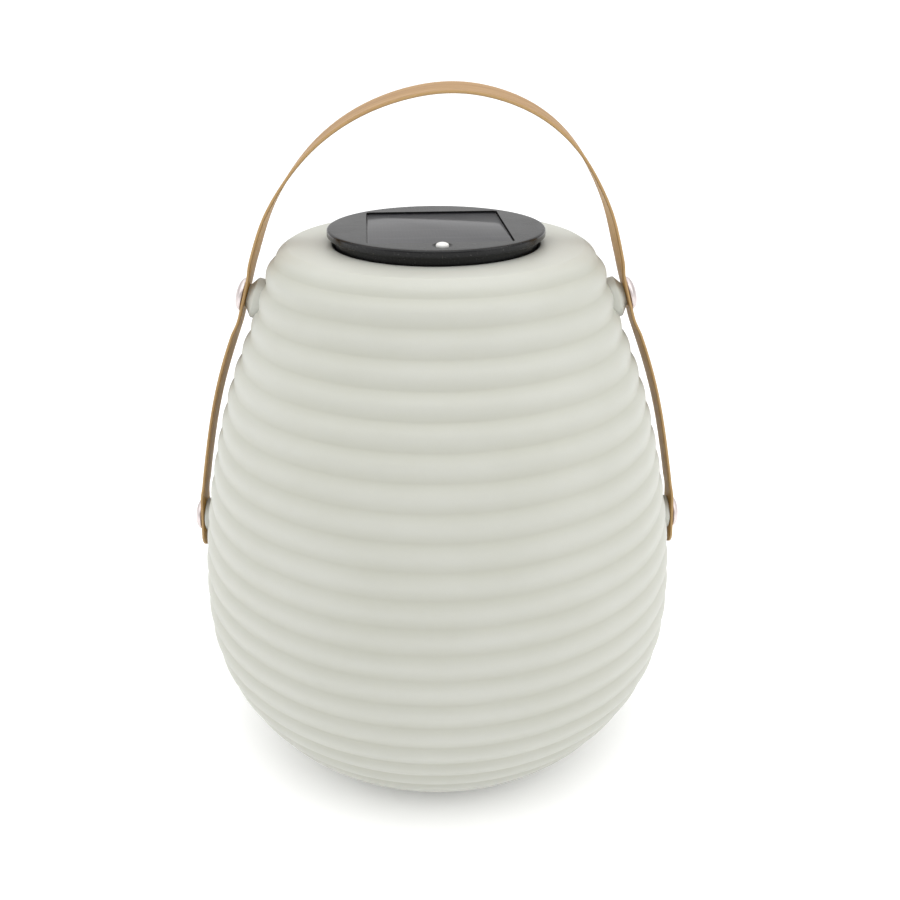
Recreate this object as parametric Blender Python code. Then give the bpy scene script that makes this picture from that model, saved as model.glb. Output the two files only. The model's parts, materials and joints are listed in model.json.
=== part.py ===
"""Solar garden lantern: ribbed diffuser shell, riveted strap handle and a lift-out light module.

Metres, +Z up. The origin is the centre of the flat base. The handle stands across X, and the front,
where the mode button is, looks towards -Y.
"""

from math import copysign, cos, exp, hypot, pi, radians, sin, tan

import bmesh
import bpy
import numpy as np
from mathutils import Matrix, Vector

# ---------------------------------------------------------------- driving dimensions

GAP = 0.0003  # air kept between two pieces that rest on each other

# Shell
SHELL_HEIGHT = 0.282
SHELL_RADIUS = 0.131  # over the rib crests, at the widest height
WALL = 0.0022
RIB_DEPTH = 0.0016
RIB_PITCH = 0.0136  # along the outline
FIRST_RIB = 0.0105  # plain shoulder above the first groove, along the outline
PLAIN_HEEL = 0.036  # plain, rounded heel below the last groove, along the outline
# Outline over the rib crests, base to top, as shares of the height and of the radius
OUTLINE = (
    (0.000, 0.630),
    (0.045, 0.758),
    (0.128, 0.897),
    (0.225, 0.981),
    (0.319, 1.000),
    (0.450, 0.980),
    (0.600, 0.920),
    (0.785, 0.800),
    (0.930, 0.675),
    (0.984, 0.622),
    (1.000, 0.572),
)

# Neck, where the light module drops in
NECK_CLEARANCE = 0.001
LEDGE_DEPTH = 0.0085
LEDGE_THICKNESS = 0.0025

# Light module
COLLAR_RADIUS = 0.0513
COLLAR_WALL = 0.0015
COLLAR_SHOW = 0.0036  # height of the collar between shell and lid
MODULE_TURN = 3.7  # degrees about Z, because the round module can sit at any angle
LEDGE_WIDTH = 0.0068  # collar to pod, in the radius
POD_DEPTH = 0.0215  # shell top to the pod's underside
POD_WALL = 0.0018
POD_FLOOR = 0.0025
SEAL_THICKNESS = 0.0015
LID_OVERHANG = 0.0037
LID_THICKNESS = 0.0038
LID_EDGE = 0.0012
LID_CHAMFER = 0.0004
SPIGOT_WALL = 0.0014
SPIGOT_DEPTH = 0.003

# Solar panel
PANEL_MARGIN = 0.0036  # lid rim to the recess corner
PANEL_LENGTH_ANGLE = 47.0  # degrees, the panel's diagonal from the X axis
RECESS_DEPTH = 0.0030
PANEL_THICKNESS = 0.0011
PANEL_CLEARANCE = 0.0005
PAD_THICKNESS = 0.0004
PAD_INSET = 0.008
RECESS_CORNER = 0.002
PANEL_CORNER = 0.0018

# Mode button and its switch
BUTTON_INSET = 0.0114  # lid rim to the button's axis
BUTTON_RADIUS = 0.0031
BUTTON_CLEARANCE = 0.0004
BUTTON_PROUD = 0.0013
BUTTON_TRAVEL = 0.0008
BUTTON_FLANGE = 0.0010
BUTTON_FLANGE_WIDTH = 0.0010
BUTTON_EDGE = 0.0008
SINK_RADIUS = 0.0052
SINK_DEPTH = 0.0009
SWITCH_SIDE = 0.006
SWITCH_HEIGHT = 0.0025
PLUNGER_RADIUS = 0.0016
PLUNGER_LENGTH = 0.0024

# Boards, lamps and battery
BOARD_WIDTH = 0.026
BOARD_LENGTH = 0.033
BOARD_THICKNESS = 0.0016
BOARD_DROP = 0.0056  # lid underside to the board's top
BOARD_FRONT_GAP = 0.0023  # collar's inner wall to the board's front edge
BOARD_POST_RADIUS = 0.0026
BOARD_POST_INSET = (0.003, 0.006)  # board's edges to its posts
BOARD_SCREW_GRIP = 0.003
CHIP = (0.006, 0.005, 0.0016)
CHIP_PLACE = (-0.006, -0.002)  # from the board's centre
COIL_PLACE = (0.006, 0.0)
COIL_RADIUS = 0.0036
COIL_HEIGHT = 0.0036
LAMP_COUNT = 6
LAMP = (0.0035, 0.0028, 0.0008)
LAMP_INSET = 0.0095
COVER_DEPTH = 0.009
COVER_WALL = 0.0016
COVER_INSET = 0.0070  # the posts' ring to the cover's rim
CELL_RADIUS = 0.0071
CELL_LENGTH = 0.0490
NUB_RADIUS = 0.0026
NUB_HEIGHT = 0.0012
HOLDER_WALL = 0.0015
HOLDER_HEIGHT = 0.011
CONTACT_THICKNESS = 0.0006
CONTACT_HEIGHT = 0.009
SPRING_LENGTH = 0.0030
SPRING_BASE = (0.0058, 0.0007)  # radius and height of its closed turns
SPRING_CONE = (0.0045, 0.0028)  # radii at its foot and at its tip
WIRE_RADIUS = 0.0006
WIRE_SPACING = 0.007
PANEL_WIRE_INSET = 0.004  # recess edge to the wire holes
LED_WIRE_INSET = 0.006  # battery holder to the wire holes
LAND_INSET = 0.0015  # board's rear edge to the wires' ends
BATTERY_LAND = 0.0063  # sideways from the middle of the board
TAB_OUTSIDE = 0.0015  # battery holder's end to its wire
TAB_DROP = 0.002

# Screws
POST_RADIUS = 0.003
PILOT_RADIUS = 0.0014
SCREW_RADIUS = 0.0011
SCREW_HEAD_RADIUS = 0.0026
SCREW_HEAD_HEIGHT = 0.0014
SCREW_GRIP = 0.007
POST_INSET = 0.0057  # pod's inner wall to the posts' ring

# Handle strap
STRAP_WIDTH = 0.018
STRAP_THICKNESS = 0.0015
STRAP_TAIL = 0.0185  # below the lower rivet
# Share of the height between the rivets, and rib crests to the strap's centre there
STRAP_BOW = ((0.28, 0.0046), (0.53, 0.0053), (0.78, 0.0060), (0.90, 0.0066))
LOWER_RIVET_HEIGHT = 0.127
UPPER_RIVET_DROP = 0.0275  # below the shell's top
PAD_PROUD = 0.0008  # rib crests to the strap's side of the lower pads
BOSS_HEIGHT = 0.0074  # rib crests to the strap's centre at the upper rivet
ARCH_RISE = 0.1022  # upper rivet to the top of the arch
ARCH_LEAN = 9.0  # degrees, to the front
ARCH_SHIFT = 0.0079  # sideways at the top of the arch
LEAN_BLEND = 0.010
ARCH_TOE = 6.5  # degrees, the most that the strap turns to the axis above the upper rivets
ARCH_TOE_BIAS = 0.6  # below 1: the most is low on the arch
BOW_TOE = 4.5  # degrees, the same between the rivets
BOW_TOE_BIAS = 3.0  # above 1: the most is near the upper rivet
FLAT_MARGIN = 0.0008  # flat strap around each rivet head
FLAT_BLEND = 0.012
# Arch above the upper rivet, as shares of the rise and of the half width at the rivets
ARCH = (
    (0.000, 1.000),
    (0.129, 0.963),
    (0.272, 0.917),
    (0.415, 0.862),
    (0.575, 0.770),
    (0.720, 0.656),
    (0.880, 0.451),
    (0.970, 0.224),
    (1.000, 0.000),
)

# Rivets
RIVET_HEAD_RADIUS = 0.0088
RIVET_HEAD_HEIGHT = 0.0040
RIVET_BARREL_RADIUS = 0.0024
RIVET_HOLE_CLEARANCE = 0.0005
BOSS_RADIUS = 0.0106
BOSS_TOP_RADIUS = 0.0058
BOSS_CONE = 0.0034  # height of the cone on the upper bosses
PAD_RADIUS = 0.0092
INNER_PAD = 0.0016
WASHER_RADIUS = 0.0072
WASHER_THICKNESS = 0.0010
CAP_RADIUS = 0.0056
CAP_HEIGHT = 0.0036
CAP_SOCKET = 0.0022

# Facets around round pieces
SHELL_FACETS = 40
MODULE_FACETS = 40
RIVET_FACETS = 16
SMALL_FACETS = 10

# ---------------------------------------------------------------- worked-out sizes

ledge_z = SHELL_HEIGHT - LEDGE_DEPTH
neck_radius = COLLAR_RADIUS + NECK_CLEARANCE
pod_radius = COLLAR_RADIUS - LEDGE_WIDTH
throat_radius = pod_radius + NECK_CLEARANCE
collar_bottom = ledge_z + SEAL_THICKNESS + 2 * GAP
collar_top = SHELL_HEIGHT + COLLAR_SHOW
collar_inner = COLLAR_RADIUS - COLLAR_WALL
pod_inner = pod_radius - POD_WALL
pod_bottom = SHELL_HEIGHT - POD_DEPTH
pod_floor_top = pod_bottom + POD_FLOOR

lid_bottom = collar_top + GAP
lid_top = lid_bottom + LID_THICKNESS
lid_radius = COLLAR_RADIUS + LID_OVERHANG
spigot_radius = collar_inner - GAP

recess_half_x = (lid_radius - PANEL_MARGIN) * cos(radians(PANEL_LENGTH_ANGLE))
recess_half_y = (lid_radius - PANEL_MARGIN) * sin(radians(PANEL_LENGTH_ANGLE))
recess_floor = lid_top - RECESS_DEPTH
pad_z = recess_floor + GAP
panel_z = pad_z + PAD_THICKNESS + GAP

button_y = -(lid_radius - BUTTON_INSET)
flange_radius = BUTTON_RADIUS + BUTTON_FLANGE_WIDTH
flange_top = lid_bottom - GAP
flange_bottom = flange_top - BUTTON_FLANGE

board_top = lid_bottom - BOARD_DROP
board_front = -(collar_inner - BOARD_FRONT_GAP)
board_y = board_front + BOARD_LENGTH / 2
switch_bottom = board_top + GAP
switch_top = switch_bottom + SWITCH_HEIGHT
board_post_x = BOARD_WIDTH / 2 - BOARD_POST_INSET[0]
board_post_y = board_front + BOARD_LENGTH - BOARD_POST_INSET[1]

post_ring = pod_inner - POST_INSET
post_x = post_ring * cos(pi / 4)
post_bottom = pod_floor_top + GAP
cover_radius = post_ring - COVER_INSET
led_board_radius = cover_radius - COVER_WALL - GAP
led_board_top = pod_bottom - GAP
led_board_bottom = led_board_top - BOARD_THICKNESS
led_ring = led_board_radius - LAMP_INSET

holder_length = CELL_LENGTH + SPRING_LENGTH + 2 * (CONTACT_THICKNESS + HOLDER_WALL) + 6 * GAP
holder_width = 2 * (CELL_RADIUS + HOLDER_WALL + GAP)
holder_bottom = pod_floor_top + GAP
cell_z = holder_bottom + HOLDER_WALL + GAP + CELL_RADIUS
panel_wire_y = recess_half_y - PANEL_WIRE_INSET
led_wire_y = -(holder_width / 2 + LED_WIRE_INSET)

strap_half = STRAP_THICKNESS / 2
upper_rivet_height = SHELL_HEIGHT - UPPER_RIVET_DROP

# ---------------------------------------------------------------- scene and materials


def clear_scene():
    for obj in list(bpy.data.objects):
        bpy.data.objects.remove(obj, do_unlink=True)


def material(name, colour, roughness, metallic=0.0):
    made = bpy.data.materials.new(name)
    made.use_nodes = True
    shader = made.node_tree.nodes["Principled BSDF"]
    shader.inputs["Base Color"].default_value = (*colour, 1.0)
    shader.inputs["Roughness"].default_value = roughness
    shader.inputs["Metallic"].default_value = metallic
    return made


clear_scene()
MATERIALS = {
    "shell": material("shell_plastic", (0.72, 0.73, 0.66), 0.45),
    "strap": material("strap_wood_tone", (0.46, 0.29, 0.13), 0.5),
    "rivet": material("rivet_nickel", (0.62, 0.58, 0.56), 0.3, 1.0),
    "lid": material("lid_black", (0.02, 0.02, 0.02), 0.25),
    "panel": material("panel_glass", (0.03, 0.03, 0.04), 0.1),
    "button": material("button_white", (0.85, 0.85, 0.83), 0.4),
    "silicone": material("silicone_grey", (0.35, 0.35, 0.35), 0.6),
    "foam": material("foam_tape", (0.08, 0.08, 0.08), 0.9),
    "board": material("board_green", (0.02, 0.17, 0.06), 0.4),
    "led_board": material("board_white", (0.8, 0.8, 0.8), 0.4),
    "chip": material("chip_epoxy", (0.03, 0.03, 0.03), 0.5),
    "copper": material("coil_copper", (0.72, 0.36, 0.16), 0.35, 1.0),
    "lamp": material("lamp_phosphor", (0.85, 0.72, 0.2), 0.4),
    "cover": material("cover_frosted", (0.9, 0.9, 0.88), 0.35),
    "holder": material("holder_black", (0.03, 0.03, 0.03), 0.5),
    "cell": material("cell_sleeve", (0.08, 0.28, 0.14), 0.35),
    "steel": material("contact_steel", (0.65, 0.65, 0.66), 0.25, 1.0),
    "wire_red": material("wire_red", (0.6, 0.03, 0.02), 0.45),
    "wire_black": material("wire_black", (0.02, 0.02, 0.02), 0.45),
}

# ---------------------------------------------------------------- modelling helpers


def add_object(name, data, slot=None, helper=False):
    obj = bpy.data.objects.new(name, data)
    bpy.context.scene.collection.objects.link(obj)
    if slot:
        data.materials.append(MATERIALS[slot])
    if helper:
        obj.hide_render = True
        obj.display_type = "WIRE"
    return obj


def finish(name, mesh_data, slot=None, helper=False, sharp_angle=35.0):
    """Turn a bmesh into a named object, with its faces pointing out and round stretches smooth."""
    bmesh.ops.recalc_face_normals(mesh_data, faces=mesh_data.faces)
    mesh = bpy.data.meshes.new(name)
    mesh_data.to_mesh(mesh)
    mesh_data.free()
    mesh.shade_smooth()
    mesh.set_sharp_from_angle(angle=radians(sharp_angle))
    return add_object(name, mesh, slot, helper)


def turn_into(mesh_data, profile, facets, matrix=None, closed=False):
    """Spin a profile of (radius, height) points about Z into a bmesh, and place it with a matrix."""
    verts = [mesh_data.verts.new((radius, 0.0, height)) for radius, height in profile]
    edges = [mesh_data.edges.new(pair) for pair in zip(verts, verts[1:])]
    if closed:
        edges.append(mesh_data.edges.new((verts[-1], verts[0])))
    before = set(mesh_data.verts) - set(verts)
    bmesh.ops.spin(
        mesh_data,
        geom=verts + edges,
        cent=(0, 0, 0),
        axis=(0, 0, 1),
        angle=2 * pi,
        steps=facets,
        use_merge=True,
    )
    made = [vert for vert in mesh_data.verts if vert not in before]
    bmesh.ops.remove_doubles(mesh_data, verts=made, dist=0.000001)
    made = [vert for vert in mesh_data.verts if vert not in before]
    if matrix:
        bmesh.ops.transform(mesh_data, matrix=matrix, verts=made)


def turned(name, profile, slot=None, facets=SMALL_FACETS, matrix=None, closed=False, helper=False):
    mesh_data = bmesh.new()
    turn_into(mesh_data, profile, facets, matrix, closed)
    return finish(name, mesh_data, slot, helper)


def rod_profile(radius, bottom, top):
    return [(0.0, bottom), (radius, bottom), (radius, top), (0.0, top)]


def ring_profile(inner, outer, bottom, top):
    return [(inner, bottom), (outer, bottom), (outer, top), (inner, top)]


def box_into(mesh_data, size, centre):
    made = bmesh.ops.create_cube(mesh_data, size=1.0)["verts"]
    bmesh.ops.scale(mesh_data, vec=size, verts=made)
    bmesh.ops.translate(mesh_data, vec=centre, verts=made)
    return made


def box(name, size, centre, slot=None, edge=0.0):
    mesh_data = bmesh.new()
    box_into(mesh_data, size, centre)
    if edge:
        bmesh.ops.bevel(
            mesh_data, geom=mesh_data.edges[:], offset=edge, segments=1, affect="EDGES", profile=0.5
        )
    return finish(name, mesh_data, slot)


def round_corners(mesh_data, radius):
    """Round the upright edges of a plate."""
    upright = []
    for edge in mesh_data.edges:
        run = edge.verts[1].co - edge.verts[0].co
        if abs(run.z) > max(abs(run.x), abs(run.y)):
            upright.append(edge)
    bmesh.ops.bevel(mesh_data, geom=upright, offset=radius, segments=2, affect="EDGES", profile=0.5)


def boolean(obj, other, operation):
    modifier = obj.modifiers.new(f"{operation.lower()} {other.name}", "BOOLEAN")
    modifier.operation = operation
    modifier.solver = "EXACT"
    modifier.object = other


def quarter_round(centre_r, centre_z, radius, start, end, steps):
    """Arc points from the start to the end angle, in degrees from the radius direction."""
    angles = [radians(start + (end - start) * step / steps) for step in range(steps + 1)]
    return [(centre_r + radius * cos(a), centre_z + radius * sin(a)) for a in angles]


def smooth_curve(stations, count):
    """Points on the natural cubic spline through the stations, evenly spaced along its length."""
    knots = np.array(stations, dtype=float)
    steps = np.hypot(*np.diff(knots, axis=0).T)
    size = len(knots)
    matrix = np.zeros((size, size))
    target = np.zeros((size, 2))
    matrix[0, 0] = matrix[-1, -1] = 1.0
    for i in range(1, size - 1):
        matrix[i, i - 1 : i + 2] = steps[i - 1], 2 * (steps[i - 1] + steps[i]), steps[i]
        rise = (knots[i + 1] - knots[i]) / steps[i] - (knots[i] - knots[i - 1]) / steps[i - 1]
        target[i] = 6 * rise
    bend = np.linalg.solve(matrix, target)
    dense = []
    for i in range(size - 1):
        step = steps[i]
        for t in np.linspace(0, step, 60, endpoint=i == size - 2):
            back = step - t
            dense.append(
                (bend[i] * back**3 + bend[i + 1] * t**3) / (6 * step)
                + (knots[i] / step - bend[i] * step / 6) * back
                + (knots[i + 1] / step - bend[i + 1] * step / 6) * t
            )
    dense = np.array(dense)
    along = np.concatenate([[0], np.cumsum(np.hypot(*np.diff(dense, axis=0).T))])
    wanted = np.linspace(0, along[-1], count)
    points = np.column_stack([np.interp(wanted, along, dense[:, axis]) for axis in (0, 1)])
    return points, wanted


# ---------------------------------------------------------------- shell outline

outline_stations = [(share_r * SHELL_RADIUS, share_z * SHELL_HEIGHT) for share_z, share_r in OUTLINE]
outline, outline_along = smooth_curve(outline_stations, 800)


def crest_radius(height):
    """Radius over the rib crests."""
    return float(np.interp(height, outline[:, 1], outline[:, 0]))


def inner_radius(height):
    return crest_radius(height) - RIB_DEPTH - WALL


def outline_point(along, inset):
    """A point on the outline, moved inwards along its normal."""
    r = float(np.interp(along, outline_along, outline[:, 0]))
    z = float(np.interp(along, outline_along, outline[:, 1]))
    step = 0.001
    dr = float(np.interp(along + step, outline_along, outline[:, 0])) - r
    dz = float(np.interp(along + step, outline_along, outline[:, 1])) - z
    if along + step > outline_along[-1]:
        dr, dz = outline[-1] - outline[-2]
    length = hypot(dr, dz)
    return r - inset * dz / length, z + inset * dr / length


def rib_points():
    """Ribbed side from the heel to the shoulder: a sharp groove, then a broad crest."""
    total = outline_along[-1]
    top_groove = total - FIRST_RIB
    count = int((top_groove - PLAIN_HEEL) / RIB_PITCH) + 1
    points = []
    for index in range(count):
        groove = top_groove - (count - 1 - index) * RIB_PITCH
        points.append(outline_point(groove, RIB_DEPTH))
        if index < count - 1:
            points.append(outline_point(groove + 0.3 * RIB_PITCH, 0.0))
            points.append(outline_point(groove + 0.7 * RIB_PITCH, 0.0))
    first_groove = top_groove - (count - 1) * RIB_PITCH
    heel = [outline_point(first_groove * share, 0.0) for share in (0.0, 0.22, 0.44, 0.64, 0.86)]
    shoulder = [outline_point(top_groove + FIRST_RIB * share, 0.0) for share in (0.35, 0.65, 0.9)]
    return heel + points + shoulder


def inner_points():
    """Smooth inside of the wall, top to bottom."""
    top = SHELL_HEIGHT - WALL - RIB_DEPTH
    bottom = WALL
    points = []
    for step in range(15):
        share = 0.5 - 0.5 * cos(pi * step / 14)
        height = top + (bottom - top) * share
        radius = max(inner_radius(height + WALL * share), 0.01)
        points.append((radius, height))
    return points


# ---------------------------------------------------------------- strap path


def strap_side():
    """One side of the strap in the XZ plane: tail, lower rivet, bow, upper rivet and arch stations."""
    tail_height = LOWER_RIVET_HEIGHT - STRAP_TAIL
    widest = max(crest_radius(tail_height), crest_radius(LOWER_RIVET_HEIGHT))
    lower_x = widest + PAD_PROUD + 1.5 * GAP + strap_half
    stations = [(lower_x, tail_height), (lower_x - GAP, LOWER_RIVET_HEIGHT)]
    span = upper_rivet_height - LOWER_RIVET_HEIGHT
    for share, standoff in STRAP_BOW:
        height = LOWER_RIVET_HEIGHT + span * share
        stations.append((crest_radius(height) + standoff, height))
    upper_x = crest_radius(upper_rivet_height) + BOSS_HEIGHT
    for share_rise, share_x in ARCH[:-1]:
        stations.append((upper_x * share_x, upper_rivet_height + ARCH_RISE * share_rise))
    return stations


right_side = strap_side()
top_station = (0.0, upper_rivet_height + ARCH_RISE)
left_side = [(-x, z) for x, z in reversed(right_side)]
strap_flat, strap_along = smooth_curve(right_side + [top_station] + left_side, 1600)


def toe_in(x, z):
    """The angle by which the strap's rear edge turns to the axis: none at the rivets and at the top."""
    if z > upper_rivet_height:
        share = ((z - upper_rivet_height) / ARCH_RISE) ** ARCH_TOE_BIAS
        most = ARCH_TOE
    else:
        span = upper_rivet_height - LOWER_RIVET_HEIGHT
        share = max((z - LOWER_RIVET_HEIGHT) / span, 0.0) ** BOW_TOE_BIAS
        most = BOW_TOE
    return -copysign(radians(most) * sin(pi * min(share, 1.0)), x)


def lean_forward(x, z):
    """The leaning arch: a flat path point as a point in space, with its width direction."""
    lift = max(z - upper_rivet_height, 0.0)
    slope = tan(radians(ARCH_LEAN))
    ramp = 1.0 - exp(-lift / LEAN_BLEND)
    forward = slope * (lift - LEAN_BLEND * ramp)
    angle = radians(ARCH_LEAN) * ramp
    shift = ARCH_SHIFT * (lift / ARCH_RISE) ** 2
    toe = toe_in(x, z)
    width = Vector((sin(toe), cos(angle) * cos(toe), sin(angle) * cos(toe)))
    return Vector((x + shift, -forward, z)), width


def free_point(along):
    """Centre and width direction on the smooth path, before it is flattened at the rivets."""
    x = float(np.interp(along, strap_along, strap_flat[:, 0]))
    z = float(np.interp(along, strap_along, strap_flat[:, 1]))
    return lean_forward(x, z)


def rivet_frames():
    """Name, distance from the right tail, centre and outward direction of each rivet."""
    frames = {}
    total = strap_along[-1]
    right_half = strap_along < total / 2
    step = 0.001
    for level, height in (("upper", upper_rivet_height), ("lower", LOWER_RIVET_HEIGHT)):
        along = float(np.interp(height, strap_flat[right_half, 1], strap_along[right_half]))
        for side, distance in (("right", along), ("left", total - along)):
            centre, _ = free_point(distance)
            run = free_point(distance + step)[0] - free_point(distance - step)[0]
            outward = Vector((0.0, 1.0, 0.0)).cross(run).normalized()
            frames[f"{level}_{side}"] = (distance, centre, outward)
    return frames


RIVETS = rivet_frames()


def strap_point(along):
    """Centre and width direction on the strap, which lies flat under each rivet's head."""
    centre, width = free_point(along)
    flat = RIVET_HEAD_RADIUS + FLAT_MARGIN
    for distance, spot, outward in RIVETS.values():
        away = along - distance
        if abs(away) > flat + FLAT_BLEND:
            continue
        straight = spot + outward.cross(Vector((0.0, 1.0, 0.0))) * away
        share = min(max((abs(away) - flat) / FLAT_BLEND, 0.0), 1.0)
        share = share * share * (3.0 - 2.0 * share)
        centre = centre * share + straight * (1.0 - share)
        width = (width * share + Vector((0.0, 1.0, 0.0)) * (1.0 - share)).normalized()
    return centre, width


def strap_frame(along):
    """Centre, width direction and outward normal of the strap at a distance from its right tail."""
    step = 0.0005
    ahead, _ = strap_point(min(along + step, strap_along[-1]))
    behind, _ = strap_point(max(along - step, 0.0))
    centre, width = strap_point(along)
    tangent = (ahead - behind).normalized()
    outward = width.cross(tangent).normalized()
    return centre, tangent.cross(outward).normalized(), outward


def along_rivet(name):
    """Matrix whose origin is the strap's centre at the rivet, and whose +Z points outwards."""
    _, centre, outward = RIVETS[name]
    across = Vector((0.0, 1.0, 0.0))
    up = outward.cross(across)
    return Matrix.Translation(centre) @ Matrix((across, up, outward)).transposed().to_4x4()


def wall_depth(name):
    """Distance from the strap's centre, inwards along the rivet, to the flat pad inside the wall."""
    _, centre, outward = RIVETS[name]
    depth = 0.0
    while depth < 0.05:
        point = centre - outward * depth
        if abs(point.x) < inner_radius(point.z):
            break
        depth += 0.0001
    return depth + INNER_PAD


# ---------------------------------------------------------------- shell and handle


def make_shell():
    plate = LEDGE_THICKNESS
    neck_outside = neck_radius + WALL
    top_plate_edge = outline_point(outline_along[-1], 0.0)[0]
    inside = inner_points()
    profile = [(0.0, 0.0)] + rib_points()
    profile += [
        (top_plate_edge, SHELL_HEIGHT),
        (neck_radius, SHELL_HEIGHT),
        (neck_radius, ledge_z),
        (throat_radius, ledge_z),
        (throat_radius, ledge_z - plate),
        (neck_outside, ledge_z - plate),
        (neck_outside, SHELL_HEIGHT - plate - RIB_DEPTH),
    ]
    profile += inside
    profile.append((0.0, WALL))
    shell = turned("diffuser_shell", profile, "shell", SHELL_FACETS)

    bosses = bmesh.new()
    holes = bmesh.new()
    for name in RIVETS:
        depth = wall_depth(name)
        outer = -strap_half - GAP
        boss = rod_profile(PAD_RADIUS, -depth, outer)
        if name.startswith("upper"):
            boss = rod_profile(BOSS_RADIUS, -depth, outer - BOSS_CONE)
            boss = boss[:-1] + [(BOSS_TOP_RADIUS, outer), (0.0, outer)]
        matrix = along_rivet(name)
        turn_into(bosses, boss, RIVET_FACETS, matrix)
        hole = rod_profile(RIVET_BARREL_RADIUS + RIVET_HOLE_CLEARANCE, -depth - 0.01, 0.01)
        turn_into(holes, hole, SMALL_FACETS, matrix)
    boolean(shell, finish("shell_bosses", bosses, helper=True), "UNION")
    boolean(shell, finish("shell_rivet_holes", holes, helper=True), "DIFFERENCE")


def end_width(distance):
    """Half width of the strap at a distance from its rounded end."""
    half = STRAP_WIDTH / 2
    if distance >= half:
        return half
    inset = half - distance
    return max((half**2 - inset**2) ** 0.5, 0.18 * half)


def make_strap():
    total = strap_along[-1]
    half = STRAP_WIDTH / 2
    end_steps = [half * (1 - cos(pi / 2 * step / 5)) for step in range(5)]
    middle = list(np.linspace(half, total - half, 66))
    stations = end_steps + middle + [total - step for step in reversed(end_steps)]
    mesh_data = bmesh.new()
    rings = []
    for along in stations:
        centre, width, outward = strap_frame(along)
        reach = end_width(min(along, total - along))
        corners = ((1, 1), (1, -1), (-1, -1), (-1, 1))
        ring = [centre + width * reach * a + outward * strap_half * b for a, b in corners]
        rings.append([mesh_data.verts.new(corner) for corner in ring])
    for ring, following in zip(rings, rings[1:]):
        for side in range(4):
            other = (side + 1) % 4
            mesh_data.faces.new((ring[side], ring[other], following[other], following[side]))
    mesh_data.faces.new(rings[0])
    mesh_data.faces.new(rings[-1])
    strap = finish("handle_strap", mesh_data, "strap")

    holes = bmesh.new()
    for name in RIVETS:
        hole = rod_profile(RIVET_BARREL_RADIUS + RIVET_HOLE_CLEARANCE, -0.004, 0.004)
        turn_into(holes, hole, SMALL_FACETS, along_rivet(name))
    boolean(strap, finish("strap_rivet_holes", holes, helper=True), "DIFFERENCE")


def dome_profile(radius, base, height, steps):
    """Dome from its rim to its crown on the axis, with a short straight rim."""
    rim = 0.22 * height
    points = [(radius * 0.96, base), (radius, base + rim)]
    for step in range(1, steps):
        angle = pi / 2 * step / steps
        points.append((radius * cos(angle), base + rim + (height - rim) * sin(angle)))
    points.append((0.0, base + height))
    return points


def make_rivets():
    for name in RIVETS:
        depth = wall_depth(name)
        matrix = along_rivet(name)
        washer_top = -depth - GAP
        washer_bottom = washer_top - WASHER_THICKNESS
        cap_top = washer_bottom - GAP
        barrel_end = cap_top - CAP_SOCKET + GAP
        head = dome_profile(RIVET_HEAD_RADIUS, strap_half + GAP, RIVET_HEAD_HEIGHT, 5)
        barrel = [(0.0, barrel_end), (RIVET_BARREL_RADIUS, barrel_end)]
        barrel.append((RIVET_BARREL_RADIUS, strap_half + GAP))
        turned(f"rivet_{name}", barrel + head, "rivet", RIVET_FACETS, matrix)

        hole = RIVET_BARREL_RADIUS + RIVET_HOLE_CLEARANCE
        washer = ring_profile(hole, WASHER_RADIUS, washer_bottom, washer_top)
        turned(f"rivet_washer_{name}", washer, "steel", RIVET_FACETS, matrix, closed=True)

        socket = RIVET_BARREL_RADIUS + GAP
        cap = [(0.0, cap_top - CAP_SOCKET), (socket, cap_top - CAP_SOCKET), (socket, cap_top)]
        cap += [(CAP_RADIUS, cap_top), (CAP_RADIUS, cap_top - 0.3 * CAP_HEIGHT)]
        cap += [(0.7 * CAP_RADIUS, cap_top - 0.85 * CAP_HEIGHT), (0.0, cap_top - CAP_HEIGHT)]
        turned(f"rivet_cap_{name}", cap, "rivet", RIVET_FACETS, matrix)


# ---------------------------------------------------------------- light module


def post_places():
    return [(post_x * a, post_x * b) for a, b in ((1, 1), (-1, 1), (-1, -1), (1, -1))]


def board_post_places():
    return [(board_post_x, board_post_y), (-board_post_x, board_post_y)]


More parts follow.
